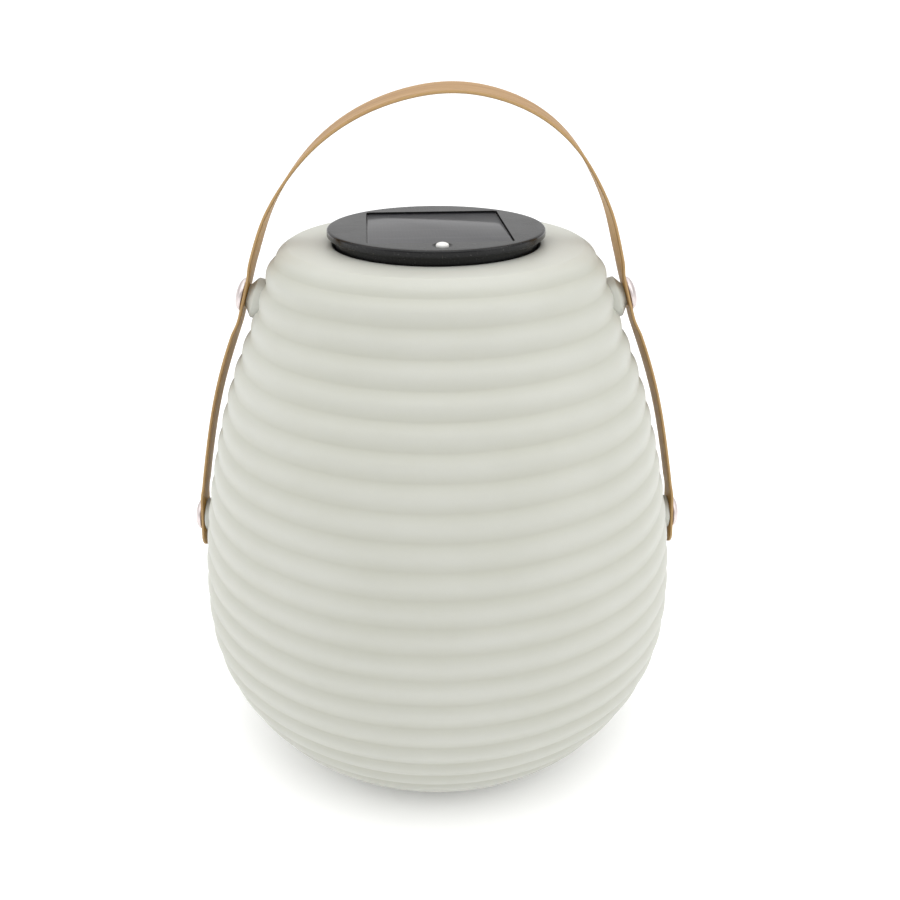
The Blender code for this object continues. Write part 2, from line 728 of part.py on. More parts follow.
def make_lid():
    rim = quarter_round(lid_radius - LID_EDGE, lid_top - LID_EDGE, LID_EDGE, 90, 0, 4)
    profile = [(0.0, lid_top)] + rim
    profile += [
        (lid_radius, lid_bottom + LID_CHAMFER),
        (lid_radius - LID_CHAMFER, lid_bottom),
        (spigot_radius, lid_bottom),
        (spigot_radius, lid_bottom - SPIGOT_DEPTH),
        (spigot_radius - SPIGOT_WALL, lid_bottom - SPIGOT_DEPTH),
        (spigot_radius - SPIGOT_WALL, lid_bottom),
        (0.0, lid_bottom),
    ]
    lid = turned("lid_cover", profile, "lid", MODULE_FACETS)
    root = lid_bottom + 0.1 * LID_THICKNESS
    posts = bmesh.new()
    cuts = bmesh.new()
    for x, y in post_places():
        place = Matrix.Translation((x, y, 0))
        turn_into(posts, rod_profile(POST_RADIUS, post_bottom, root), SMALL_FACETS, place)
        pilot = rod_profile(PILOT_RADIUS, post_bottom - 0.002, post_bottom + SCREW_GRIP + GAP)
        turn_into(cuts, pilot, SMALL_FACETS, place)
    for x, y in board_post_places():
        place = Matrix.Translation((x, y, 0))
        bottom = board_top + GAP
        turn_into(posts, rod_profile(BOARD_POST_RADIUS, bottom, root), SMALL_FACETS, place)
        pilot = rod_profile(PILOT_RADIUS, bottom - 0.002, bottom + BOARD_SCREW_GRIP + 3 * GAP)
        turn_into(cuts, pilot, SMALL_FACETS, place)
    place = Matrix.Translation((0, button_y, 0))
    bore = BUTTON_RADIUS + BUTTON_CLEARANCE
    # The countersink and the bore are one cutter: a cone above, a cylinder below.
    sink = [
        (0.0, lid_bottom - 0.002),
        (bore, lid_bottom - 0.002),
        (bore, lid_top - SINK_DEPTH),
        (SINK_RADIUS, lid_top + 0.0002),
        (SINK_RADIUS, lid_top + 0.002),
        (0.0, lid_top + 0.002),
    ]
    turn_into(cuts, sink, RIVET_FACETS, place)
    for x in (WIRE_SPACING / 2, -WIRE_SPACING / 2):
        place = Matrix.Translation((x, panel_wire_y, 0))
        hole = rod_profile(2 * WIRE_RADIUS, lid_bottom - 0.001, recess_floor + 0.001)
        turn_into(cuts, hole, SMALL_FACETS, place)
    boolean(lid, finish("lid_posts", posts, helper=True), "UNION")
    boolean(lid, finish("lid_cuts", cuts, helper=True), "DIFFERENCE")

    recess = bmesh.new()
    size = (2 * recess_half_x, 2 * recess_half_y, RECESS_DEPTH + 0.002)
    box_into(recess, size, (0, 0, recess_floor + size[2] / 2))
    round_corners(recess, RECESS_CORNER)
    boolean(lid, finish("lid_recess", recess, helper=True), "DIFFERENCE")


def make_panel():
    edge = PANEL_CLEARANCE
    size = (2 * (recess_half_x - edge), 2 * (recess_half_y - edge), PANEL_THICKNESS)
    panel = bmesh.new()
    box_into(panel, size, (0, 0, panel_z + PANEL_THICKNESS / 2))
    round_corners(panel, PANEL_CORNER)
    finish("solar_panel", panel, "panel")
    pad_size = (size[0] - 2 * PAD_INSET, size[1] - 2 * PAD_INSET, PAD_THICKNESS)
    box("panel_pad", pad_size, (0, 0, pad_z + PAD_THICKNESS / 2), "foam")


def make_housing():
    profile = [
        (0.0, pod_bottom),
        (pod_radius - 0.001, pod_bottom),
        (pod_radius, pod_bottom + 0.001),
        (pod_radius, collar_bottom),
        (COLLAR_RADIUS, collar_bottom),
        (COLLAR_RADIUS, collar_top),
        (collar_inner, collar_top),
        (collar_inner, collar_bottom + POD_WALL),
        (pod_inner, collar_bottom + POD_WALL),
        (pod_inner, pod_floor_top),
        (0.0, pod_floor_top),
    ]
    housing = turned("module_housing", profile, "lid", MODULE_FACETS)
    cuts = bmesh.new()
    for x, y in post_places():
        hole = rod_profile(PILOT_RADIUS + GAP, pod_bottom - 0.002, pod_floor_top + 0.002)
        turn_into(cuts, hole, SMALL_FACETS, Matrix.Translation((x, y, 0)))
    for x in (WIRE_SPACING / 2, -WIRE_SPACING / 2):
        hole = rod_profile(2 * WIRE_RADIUS, pod_bottom - 0.002, pod_floor_top + 0.002)
        turn_into(cuts, hole, SMALL_FACETS, Matrix.Translation((x, led_wire_y, 0)))
    boolean(housing, finish("housing_cuts", cuts, helper=True), "DIFFERENCE")
    seal = ring_profile(pod_radius + GAP, COLLAR_RADIUS - GAP, ledge_z + GAP, collar_bottom - GAP)
    turned("seal_ring", seal, "silicone", MODULE_FACETS, closed=True)


def make_button():
    crown = lid_top + BUTTON_PROUD
    edge = BUTTON_EDGE
    profile = [(0.0, flange_bottom), (flange_radius, flange_bottom), (flange_radius, flange_top)]
    profile += [(BUTTON_RADIUS, flange_top), (BUTTON_RADIUS, crown - edge)]
    profile += [(BUTTON_RADIUS - 0.3 * edge, crown - 0.3 * edge), (BUTTON_RADIUS - edge, crown)]
    profile.append((0.0, crown + 0.2 * edge))
    place = Matrix.Translation((0, button_y, 0))
    button = turned("mode_button", profile, "button", RIVET_FACETS)
    button.location = (0, button_y, 0)

    switch = box(
        "tact_switch",
        (SWITCH_SIDE, SWITCH_SIDE, SWITCH_HEIGHT),
        (0, button_y, switch_bottom + SWITCH_HEIGHT / 2),
        "chip",
    )
    plunger_top = flange_bottom - GAP
    plunger_bottom = plunger_top - PLUNGER_LENGTH
    well_bottom = plunger_bottom - BUTTON_TRAVEL - GAP
    well = rod_profile(PLUNGER_RADIUS + GAP, well_bottom, switch_top + 0.002)
    cutter = turned("switch_well", well, facets=SMALL_FACETS, matrix=place, helper=True)
    boolean(switch, cutter, "DIFFERENCE")
    plunger = rod_profile(PLUNGER_RADIUS, plunger_bottom, plunger_top)
    made = turned("switch_plunger", plunger, "holder", SMALL_FACETS)
    made.location = (0, button_y, 0)


def make_boards():
    board = box(
        "circuit_board",
        (BOARD_WIDTH, BOARD_LENGTH, BOARD_THICKNESS),
        (0, board_y, board_top - BOARD_THICKNESS / 2),
        "board",
    )
    cuts = bmesh.new()
    for x, y in board_post_places():
        hole = rod_profile(PILOT_RADIUS, board_top - 0.004, board_top + 0.002)
        turn_into(cuts, hole, SMALL_FACETS, Matrix.Translation((x, y, 0)))
    boolean(board, finish("board_holes", cuts, helper=True), "DIFFERENCE")
    chip_z = board_top + GAP + CHIP[2] / 2
    box("controller_chip", CHIP, (CHIP_PLACE[0], board_y + CHIP_PLACE[1], chip_z), "chip", GAP)
    coil_top = board_top - BOARD_THICKNESS - GAP
    coil = rod_profile(COIL_RADIUS, coil_top - COIL_HEIGHT, coil_top)
    place = Matrix.Translation((COIL_PLACE[0], board_y + COIL_PLACE[1], 0))
    turned("charge_coil", coil, "copper", RIVET_FACETS, place)

    disc = rod_profile(led_board_radius, led_board_bottom, led_board_top)
    turned("led_board", disc, "led_board", 24)
    for index in range(LAMP_COUNT):
        angle = 2 * pi * index / LAMP_COUNT + pi / LAMP_COUNT
        lamp_z = led_board_bottom - GAP - LAMP[2] / 2
        place = (led_ring * cos(angle), led_ring * sin(angle), lamp_z)
        box(f"led_{index + 1}", LAMP, place, "lamp")

    top = led_board_top
    dome_top = led_board_bottom - 2 * GAP - LAMP[2]
    inner_r = cover_radius - COVER_WALL
    outer_sink = COVER_DEPTH - (top - dome_top)
    inner_sink = outer_sink - COVER_WALL
    angles = np.linspace(0, pi / 2, 6)
    inner = [(inner_r * sin(a), dome_top - inner_sink * cos(a)) for a in angles]
    outer = [(cover_radius * sin(a), dome_top - outer_sink * cos(a)) for a in reversed(angles)]
    profile = inner + [(inner_r, top), (cover_radius, top)] + outer
    turned("led_cover", profile, "cover", 24)


def make_battery():
    holder = box(
        "battery_holder",
        (holder_length, holder_width, HOLDER_HEIGHT),
        (0, 0, holder_bottom + HOLDER_HEIGHT / 2),
        "holder",
    )
    hollow = bmesh.new()
    inside = (holder_length - 2 * HOLDER_WALL, holder_width - 2 * HOLDER_WALL, HOLDER_HEIGHT)
    box_into(hollow, inside, (0, 0, holder_bottom + HOLDER_WALL + HOLDER_HEIGHT / 2))
    boolean(holder, finish("holder_hollow", hollow, helper=True), "DIFFERENCE")

    sideways = Matrix.Rotation(pi / 2, 4, "Y")
    inner_end = holder_length / 2 - HOLDER_WALL
    plate_x = inner_end - GAP - CONTACT_THICKNESS / 2
    plate_size = (CONTACT_THICKNESS, 1.6 * CELL_RADIUS, CONTACT_HEIGHT)
    plate_z = holder_bottom + HOLDER_WALL + GAP + plate_size[2] / 2
    box("battery_contact_plate", plate_size, (plate_x, 0, plate_z), "steel")

    cell_end = plate_x - CONTACT_THICKNESS / 2 - GAP
    shoulder = cell_end - NUB_HEIGHT
    cell = [(0.0, cell_end - CELL_LENGTH), (CELL_RADIUS, cell_end - CELL_LENGTH)]
    cell += [(CELL_RADIUS, shoulder), (NUB_RADIUS, shoulder), (NUB_RADIUS, cell_end), (0.0, cell_end)]
    raised = Matrix.Translation((0, 0, cell_z)) @ sideways
    turned("battery_cell", cell, "cell", RIVET_FACETS, raised)

    # The spring's envelope: a coil wound to a cone, closed by its base plate.
    base = -inner_end + GAP
    tip = cell_end - CELL_LENGTH - GAP
    radius, height = SPRING_BASE
    spring = [(0.0, base), (radius, base), (radius, base + height), (SPRING_CONE[0], base + height)]
    spring += [(SPRING_CONE[1], tip), (0.0, tip)]
    turned("battery_contact_spring", spring, "steel", RIVET_FACETS, raised)


def screw_profile(seat, length):
    """A screw driven upwards: its head's top is the seat, and its shank rises from it."""
    head = SCREW_HEAD_HEIGHT
    return [
        (0.0, seat - head),
        (0.75 * SCREW_HEAD_RADIUS, seat - head),
        (SCREW_HEAD_RADIUS, seat - 0.6 * head),
        (SCREW_HEAD_RADIUS, seat),
        (SCREW_RADIUS, seat),
        (SCREW_RADIUS, seat + length),
        (0.0, seat + length),
    ]


def make_screws():
    for index, (x, y) in enumerate(post_places()):
        seat = pod_bottom - GAP
        length = POD_FLOOR + GAP + SCREW_GRIP
        place = Matrix.Translation((x, y, 0))
        turned(f"housing_screw_{index + 1}", screw_profile(seat, length), "steel", SMALL_FACETS, place)
    for index, (x, y) in enumerate(board_post_places()):
        seat = board_top - BOARD_THICKNESS - GAP
        length = BOARD_THICKNESS + 2 * GAP + BOARD_SCREW_GRIP
        place = Matrix.Translation((x, y, 0))
        turned(f"board_screw_{index + 1}", screw_profile(seat, length), "steel", SMALL_FACETS, place)


def smooth_route(route):
    """Points on the Catmull-Rom curve through a route's points."""
    knots = [Vector(point) for point in route]
    padded = [2 * knots[0] - knots[1]] + knots + [2 * knots[-1] - knots[-2]]
    points = []
    for a, b, c, d in zip(padded, padded[1:], padded[2:], padded[3:]):
        for t in (0.0, 0.34, 0.67):
            bend = 2 * a - 5 * b + 4 * c - d
            twist = 3 * b - a - 3 * c + d
            points.append(b + 0.5 * ((c - a) * t + bend * t**2 + twist * t**3))
    return points + [knots[-1]]


def make_wire(name, route, slot):
    points = smooth_route(route)
    data = bpy.data.curves.new(name, "CURVE")
    data.dimensions = "3D"
    data.bevel_depth = WIRE_RADIUS
    data.bevel_resolution = 1
    data.use_fill_caps = True
    spline = data.splines.new("POLY")
    spline.points.add(len(points) - 1)
    for place, point in zip(spline.points, points):
        place.co = (*point, 1.0)
    add_object(name, data, slot)


def make_wires():
    """Panel, battery and lamp wires, each a pair that ends on the board."""
    land = board_front + BOARD_LENGTH - LAND_INSET
    over = (lid_bottom + board_top) / 2
    touch = board_top + GAP + WIRE_RADIUS
    under = board_top - BOARD_THICKNESS - GAP
    lamp_land = min(led_wire_y, land - 0.004)
    tab_x = holder_length / 2 + TAB_OUTSIDE
    tab_z = holder_bottom + HOLDER_HEIGHT - TAB_DROP
    for sign, name, slot in ((1, "positive", "wire_red"), (-1, "negative", "wire_black")):
        x = sign * WIRE_SPACING / 2
        panel_route = [
            (x, panel_wire_y, panel_z - GAP),
            (x, panel_wire_y, lid_bottom - 0.001),
            (x, panel_wire_y - 0.004, over + 0.0005),
            (x, panel_wire_y - 0.020, over),
            (x, land + 0.006, over),
            (x, land, touch),
            (x, land - 0.003, touch),
        ]
        make_wire(f"panel_wire_{name}", panel_route, slot)
        battery_route = [
            (sign * tab_x, 0.0, tab_z),
            (sign * tab_x, -0.001, tab_z + 0.004),
            (sign * (tab_x - 0.006), land + 0.012, over + 0.001),
            (sign * 2 * BATTERY_LAND, land + 0.006, over + 0.001),
            (sign * BATTERY_LAND, land + 0.001, touch + GAP),
            (sign * BATTERY_LAND, land - 0.002, touch),
        ]
        make_wire(f"battery_wire_{name}", battery_route, slot)
        led_route = [
            (x, led_wire_y, led_board_top + GAP),
            (x, led_wire_y, pod_floor_top),
            (x, led_wire_y - 0.001, (pod_floor_top + under) / 2),
            (x, lamp_land, under - 0.003),
            (x, lamp_land, under),
        ]
        make_wire(f"led_wire_{name}", led_route, slot)


def turn_module(others):
    """Turn every object of the light module, and its cutters, in the shell's neck."""
    turn = Matrix.Rotation(radians(MODULE_TURN), 4, "Z")
    for obj in set(bpy.data.objects) - others:
        obj.matrix_basis = turn @ obj.matrix_basis


make_shell()
make_strap()
make_rivets()
outside_module = set(bpy.data.objects)
make_lid()
make_panel()
make_housing()
make_button()
make_boards()
make_battery()
make_screws()
make_wires()
turn_module(outside_module)
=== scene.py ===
"""Looks of the solar garden lantern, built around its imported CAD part.

Metres, +Z up, front towards -Y.
"""

import json
from math import copysign, cos, exp, hypot, pi, radians, sin, tan

import bmesh
import bpy
import numpy as np
from mathutils import Matrix, Vector


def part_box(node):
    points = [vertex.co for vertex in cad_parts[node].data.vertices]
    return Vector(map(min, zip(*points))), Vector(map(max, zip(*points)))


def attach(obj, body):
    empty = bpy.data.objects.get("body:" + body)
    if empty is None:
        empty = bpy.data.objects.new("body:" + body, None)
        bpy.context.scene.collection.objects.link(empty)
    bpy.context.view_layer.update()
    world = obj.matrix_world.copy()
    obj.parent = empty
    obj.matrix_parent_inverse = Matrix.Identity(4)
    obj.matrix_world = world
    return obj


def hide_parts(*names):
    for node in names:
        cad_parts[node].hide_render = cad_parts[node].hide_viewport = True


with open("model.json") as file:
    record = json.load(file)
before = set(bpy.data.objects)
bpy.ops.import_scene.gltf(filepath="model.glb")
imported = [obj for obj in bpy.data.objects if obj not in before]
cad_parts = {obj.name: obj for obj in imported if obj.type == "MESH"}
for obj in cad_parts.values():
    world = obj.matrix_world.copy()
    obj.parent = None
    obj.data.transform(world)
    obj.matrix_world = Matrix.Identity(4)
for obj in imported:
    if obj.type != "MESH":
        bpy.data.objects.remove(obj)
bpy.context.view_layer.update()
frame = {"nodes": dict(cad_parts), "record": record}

# ---------------------------------------------------------------- sizes read from the frame

MODULE_TURN = Matrix.Rotation(radians(3.7), 4, "Z")


def module_box(name):
    """A module node's corners and its reach from the axis, with the module's turn taken back."""
    back = MODULE_TURN.inverted()
    places = np.array([back @ vert.co for vert in frame["nodes"][name].data.vertices])
    reach = float(np.hypot(places[:, 0], places[:, 1]).max())
    return Vector(places.min(axis=0)), Vector(places.max(axis=0)), reach


shell_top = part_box("diffuser_shell")[1]
SHELL_HEIGHT = shell_top.z
SHELL_RADIUS = shell_top.y
_, lid_high, LID_RADIUS = module_box("lid_cover")
LID_TOP = lid_high.z
housing_low, housing_high, COLLAR_RADIUS = module_box("module_housing")
COLLAR_TOP = housing_high.z
POD_BOTTOM = housing_low.z
seal_low, seal_high, _ = module_box("seal_ring")
panel_low, panel_high, _ = module_box("solar_panel")
button_low, button_high, _ = module_box("mode_button")
cover_low, cover_high, cover_radius = module_box("led_cover")

# ---------------------------------------------------------------- the CAD part's own rules, in metres

GAP = 0.0003
WALL = 0.0022
RIB_DEPTH = 0.0016
RIB_PITCH = 0.0136
FIRST_RIB = 0.0105
PLAIN_HEEL = 0.036
OUTLINE = (
    (0.000, 0.630),
    (0.045, 0.758),
    (0.128, 0.897),
    (0.225, 0.981),
    (0.319, 1.000),
    (0.450, 0.980),
    (0.600, 0.920),
    (0.785, 0.800),
    (0.930, 0.675),
    (0.984, 0.622),
    (1.000, 0.572),
)
NECK_CLEARANCE = 0.001
LEDGE_DEPTH = 0.0085
LEDGE_THICKNESS = 0.0025
LEDGE_WIDTH = 0.0068
POD_WALL = 0.0018
POD_FLOOR = 0.0025
COLLAR_WALL = 0.0015
PANEL_CLEARANCE = 0.0005
RECESS_DEPTH = 0.0030
BUTTON_RADIUS = 0.0031
BUTTON_CLEARANCE = 0.0004
SINK_RADIUS = 0.0052
SINK_DEPTH = 0.0009

STRAP_WIDTH = 0.018
STRAP_THICKNESS = 0.0015
STRAP_TAIL = 0.0185
STRAP_BOW = ((0.28, 0.0046), (0.53, 0.0053), (0.78, 0.0060), (0.90, 0.0066))
PAD_PROUD = 0.0008
LOWER_RIVET_HEIGHT = 0.127
UPPER_RIVET_DROP = 0.0275
BOSS_HEIGHT = 0.0074
ARCH_RISE = 0.1022
ARCH_LEAN = 9.0
ARCH_SHIFT = 0.0079
LEAN_BLEND = 0.010
ARCH_TOE = 6.5
ARCH_TOE_BIAS = 0.6
BOW_TOE = 4.5
BOW_TOE_BIAS = 3.0
FLAT_MARGIN = 0.0008
FLAT_BLEND = 0.012
ARCH = (
    (0.000, 1.000),
    (0.129, 0.963),
    (0.272, 0.917),
    (0.415, 0.862),
    (0.575, 0.770),
    (0.720, 0.656),
    (0.880, 0.451),
    (0.970, 0.224),
    (1.000, 0.000),
)
RIVET_HEAD_RADIUS = 0.0088
RIVET_HEAD_HEIGHT = 0.0040
RIVET_BARREL_RADIUS = 0.0024
RIVET_HOLE = 0.0029
BOSS_RADIUS = 0.0106
BOSS_TOP_RADIUS = 0.0058
BOSS_CONE = 0.0034
PAD_RADIUS = 0.0092
INNER_PAD = 0.0016

ledge_z = SHELL_HEIGHT - LEDGE_DEPTH
neck_radius = COLLAR_RADIUS + NECK_CLEARANCE
pod_radius = COLLAR_RADIUS - LEDGE_WIDTH
throat_radius = pod_radius + NECK_CLEARANCE
strap_half = STRAP_THICKNESS / 2
upper_rivet_height = SHELL_HEIGHT - UPPER_RIVET_DROP

# Facets round turned pieces
SHELL_FACETS = 160
MODULE_FACETS = 128
SMALL_FACETS = 48
HOLE_FACETS = 24
COVER_FACETS = 96

# ---------------------------------------------------------------- mesh helpers


def link(name, mesh):
    made = bpy.data.objects.new(name, mesh)
    bpy.context.scene.collection.objects.link(made)
    return made


def finish_mesh(name, mesh_data, sharp_angle=32.0):
    bmesh.ops.recalc_face_normals(mesh_data, faces=mesh_data.faces)
    mesh = bpy.data.meshes.new(name)
    mesh_data.to_mesh(mesh)
    mesh_data.free()
    mesh.shade_smooth()
    mesh.set_sharp_from_angle(angle=radians(sharp_angle))
    return link(name, mesh)


def lathe_into(mesh_data, profile, facets, matrix=None, closed=False):
    """Turn (radius, height) points about Z. Points on the axis become one vertex."""
    rings = []
    for radius, height in profile:
        if radius < 1e-7:
            rings.append([mesh_data.verts.new((0.0, 0.0, height))])
            continue
        angles = [2 * pi * step / facets for step in range(facets)]
        rings.append([mesh_data.verts.new((radius * cos(a), radius * sin(a), height)) for a in angles])
    pairs = list(zip(rings, rings[1:]))
    if closed:
        pairs.append((rings[-1], rings[0]))
    for low, high in pairs:
        for step in range(facets):
            following = (step + 1) % facets
            corners = []
            for vert in (
                low[step % len(low)],
                low[following % len(low)],
                high[following % len(high)],
                high[step % len(high)],
            ):
                if vert not in corners:
                    corners.append(vert)
            if len(corners) > 2:
                mesh_data.faces.new(corners)
    if matrix:
        bmesh.ops.transform(mesh_data, matrix=matrix, verts=[v for ring in rings for v in ring])


def lathe(name, profile, facets=SMALL_FACETS, matrix=None, closed=False, sharp_angle=32.0):
    mesh_data = bmesh.new()
    lathe_into(mesh_data, profile, facets, matrix, closed)
    return finish_mesh(name, mesh_data, sharp_angle)


def arc(centre_r, centre_z, radius, start, end, steps=6):
    """Points on a circle between two angles, in degrees from the radius direction."""
    angles = [radians(start + (end - start) * step / steps) for step in range(steps + 1)]
    return [(centre_r + radius * cos(a), centre_z + radius * sin(a)) for a in angles]


def rounded_plate(mesh_data, low, high, corner):
    """An upright prism with rounded corners between two heights."""
    rings = []
    for height in (low.z, high.z):
        ring = []
        for sign_x, sign_y, start in ((1, 1, 0), (-1, 1, 90), (-1, -1, 180), (1, -1, 270)):
            centre_x = high.x - corner if sign_x > 0 else low.x + corner
            centre_y = high.y - corner if sign_y > 0 else low.y + corner
            for x, y in arc(centre_x, centre_y, corner, start, start + 90):
                ring.append(mesh_data.verts.new((x, y, height)))
        rings.append(ring)
    count = len(rings[0])
    for step in range(count):
        following = (step + 1) % count
        mesh_data.faces.new((rings[0][step], rings[0][following], rings[1][following], rings[1][step]))
    mesh_data.faces.new(rings[0])
    mesh_data.faces.new(rings[1])


def boolean(piece, other, operation):
    """Apply a Boolean to the piece and remove the other object."""
    modifier = piece.modifiers.new(operation.lower(), "BOOLEAN")
    modifier.operation = operation
    modifier.solver = "EXACT"
    modifier.object = other
    bpy.context.view_layer.update()
    graph = bpy.context.evaluated_depsgraph_get()
    mesh = bpy.data.meshes.new_from_object(piece.evaluated_get(graph))
    piece.modifiers.clear()
    piece.data = mesh
    bpy.data.objects.remove(other, do_unlink=True)
    mesh.shade_smooth()
    mesh.set_sharp_from_angle(angle=radians(32.0))


def smooth_curve(stations, count):
    """Points on the natural cubic spline through the stations, evenly spaced along its length."""
    knots = np.array(stations, dtype=float)
    steps = np.hypot(*np.diff(knots, axis=0).T)
    size = len(knots)
    matrix = np.zeros((size, size))
    target = np.zeros((size, 2))
    matrix[0, 0] = matrix[-1, -1] = 1.0
    for i in range(1, size - 1):
        matrix[i, i - 1 : i + 2] = steps[i - 1], 2 * (steps[i - 1] + steps[i]), steps[i]
        rise = (knots[i + 1] - knots[i]) / steps[i] - (knots[i] - knots[i - 1]) / steps[i - 1]
        target[i] = 6 * rise
    bend = np.linalg.solve(matrix, target)
    dense = []
    for i in range(size - 1):
        step = steps[i]
        for t in np.linspace(0, step, 60, endpoint=i == size - 2):
            back = step - t
            dense.append(
                (bend[i] * back**3 + bend[i + 1] * t**3) / (6 * step)
                + (knots[i] / step - bend[i] * step / 6) * back
                + (knots[i + 1] / step - bend[i + 1] * step / 6) * t
            )
    dense = np.array(dense)
    along = np.concatenate([[0], np.cumsum(np.hypot(*np.diff(dense, axis=0).T))])
    wanted = np.linspace(0, along[-1], count)
    points = np.column_stack([np.interp(wanted, along, dense[:, axis]) for axis in (0, 1)])
    return points, wanted


# ---------------------------------------------------------------- shell outline and strap path

outline, outline_along = smooth_curve([(r * SHELL_RADIUS, z * SHELL_HEIGHT) for z, r in OUTLINE], 800)


def crest_radius(height):
    return float(np.interp(height, outline[:, 1], outline[:, 0]))


def outline_point(along, inset):
    """A point on the outline, moved inwards along its normal."""
    r = float(np.interp(along, outline_along, outline[:, 0]))
    z = float(np.interp(along, outline_along, outline[:, 1]))
    step = 0.001
    dr = float(np.interp(along + step, outline_along, outline[:, 0])) - r
    dz = float(np.interp(along + step, outline_along, outline[:, 1])) - z
    if along + step > outline_along[-1]:
        dr, dz = outline[-1] - outline[-2]
    length = hypot(dr, dz)
    return r - inset * dz / length, z + inset * dr / length


def strap_side():
    """One side of the strap in the XZ plane: tail, lower rivet, bow, upper rivet and arch stations."""
    tail_height = LOWER_RIVET_HEIGHT - STRAP_TAIL
    widest = max(crest_radius(tail_height), crest_radius(LOWER_RIVET_HEIGHT))
    lower_x = widest + PAD_PROUD + 1.5 * GAP + strap_half
    stations = [(lower_x, tail_height), (lower_x - GAP, LOWER_RIVET_HEIGHT)]
    span = upper_rivet_height - LOWER_RIVET_HEIGHT
    for share, standoff in STRAP_BOW:
        height = LOWER_RIVET_HEIGHT + span * share
        stations.append((crest_radius(height) + standoff, height))
    upper_x = crest_radius(upper_rivet_height) + BOSS_HEIGHT
    for share_rise, share_x in ARCH[:-1]:
        stations.append((upper_x * share_x, upper_rivet_height + ARCH_RISE * share_rise))
    return stations


right_side = strap_side()
top_station = (0.0, upper_rivet_height + ARCH_RISE)
left_side = [(-x, z) for x, z in reversed(right_side)]
strap_flat, strap_along = smooth_curve(right_side + [top_station] + left_side, 1600)


def toe_in(x, z):
    """The angle by which the strap's rear edge turns to the axis: none at the rivets and at the top."""
    if z > upper_rivet_height:
        share = ((z - upper_rivet_height) / ARCH_RISE) ** ARCH_TOE_BIAS
        most = ARCH_TOE
    else:
        span = upper_rivet_height - LOWER_RIVET_HEIGHT
        share = max((z - LOWER_RIVET_HEIGHT) / span, 0.0) ** BOW_TOE_BIAS
        most = BOW_TOE
    return -copysign(radians(most) * sin(pi * min(share, 1.0)), x)


def free_point(along):
    """Centre and width direction on the leaning path, before it is flattened at the rivets."""
    x = float(np.interp(along, strap_along, strap_flat[:, 0]))
    z = float(np.interp(along, strap_along, strap_flat[:, 1]))
    lift = max(z - upper_rivet_height, 0.0)
    ramp = 1.0 - exp(-lift / LEAN_BLEND)
    forward = tan(radians(ARCH_LEAN)) * (lift - LEAN_BLEND * ramp)
    angle = radians(ARCH_LEAN) * ramp
    shift = ARCH_SHIFT * (lift / ARCH_RISE) ** 2
    toe = toe_in(x, z)
    width = Vector((sin(toe), cos(angle) * cos(toe), sin(angle) * cos(toe)))
    return Vector((x + shift, -forward, z)), width


def rivet_frames():
    """Name, distance from the right tail, centre and outward direction of each rivet."""
    frames = {}
    total = strap_along[-1]
    right_half = strap_along < total / 2
    step = 0.001
    for level, height in (("upper", upper_rivet_height), ("lower", LOWER_RIVET_HEIGHT)):
        along = float(np.interp(height, strap_flat[right_half, 1], strap_along[right_half]))
        for side, distance in (("right", along), ("left", total - along)):
            centre, _ = free_point(distance)
            run = free_point(distance + step)[0] - free_point(distance - step)[0]
            outward = Vector((0.0, 1.0, 0.0)).cross(run).normalized()
            frames[f"{level}_{side}"] = (distance, centre, outward)
    return frames


RIVETS = rivet_frames()


def strap_point(along):
    """Centre and width direction on the strap, which lies flat under each rivet's head."""
    centre, width = free_point(along)
    flat = RIVET_HEAD_RADIUS + FLAT_MARGIN
    for distance, spot, outward in RIVETS.values():
        away = along - distance
        if abs(away) > flat + FLAT_BLEND:
            continue
        straight = spot + outward.cross(Vector((0.0, 1.0, 0.0))) * away
        share = min(max((abs(away) - flat) / FLAT_BLEND, 0.0), 1.0)
        share = share * share * (3.0 - 2.0 * share)
        centre = centre * share + straight * (1.0 - share)
        width = (width * share + Vector((0.0, 1.0, 0.0)) * (1.0 - share)).normalized()
    return centre, width


def strap_frame(along):
    """Centre, width direction and outward normal of the strap."""
    step = 0.0005
    ahead, _ = strap_point(min(along + step, strap_along[-1]))
    behind, _ = strap_point(max(along - step, 0.0))
    centre, width = strap_point(along)
    tangent = (ahead - behind).normalized()
    outward = width.cross(tangent).normalized()
    return centre, tangent.cross(outward).normalized(), outward


def along_rivet(name):
    """Matrix whose origin is the strap's centre at the rivet, and whose +Z points outwards."""
    _, centre, outward = RIVETS[name]
    across = Vector((0.0, 1.0, 0.0))
    up = outward.cross(across)
    return Matrix.Translation(centre) @ Matrix((across, up, outward)).transposed().to_4x4()


def wall_depth(name):
    """Distance from the strap's centre to the flat pad inside the wall."""
    _, centre, outward = RIVETS[name]
    depth = 0.0
    while depth < 0.05:
        point = centre - outward * depth
        if abs(point.x) < crest_radius(point.z) - RIB_DEPTH - WALL:
            break
        depth += 0.0001
    return depth + INNER_PAD


# ---------------------------------------------------------------- materials


def add(tree, kind, inputs=None, **settings):
    """A shader node with its settings, and its inputs set to values or linked to sockets."""
    made = tree.nodes.new(kind)
    for key, value in settings.items():
        setattr(made, key, value)
    for key, value in (inputs or {}).items():
        if isinstance(value, bpy.types.NodeSocket):
            tree.links.new(value, made.inputs[key])
        else:
            made.inputs[key].default_value = value
    return made


def start_material(name, **sockets):
    made = bpy.data.materials.new(name)
    made.use_nodes = True
    shader = made.node_tree.nodes["Principled BSDF"]
    for key, value in sockets.items():
        shader.inputs[key.replace("_", " ")].default_value = value
    return made, made.node_tree, shader


def object_coords(tree, scale=(1.0, 1.0, 1.0)):
    coords = add(tree, "ShaderNodeTexCoord").outputs["Object"]
    return add(tree, "ShaderNodeMapping", {"Vector": coords, "Scale": scale}).outputs["Vector"]


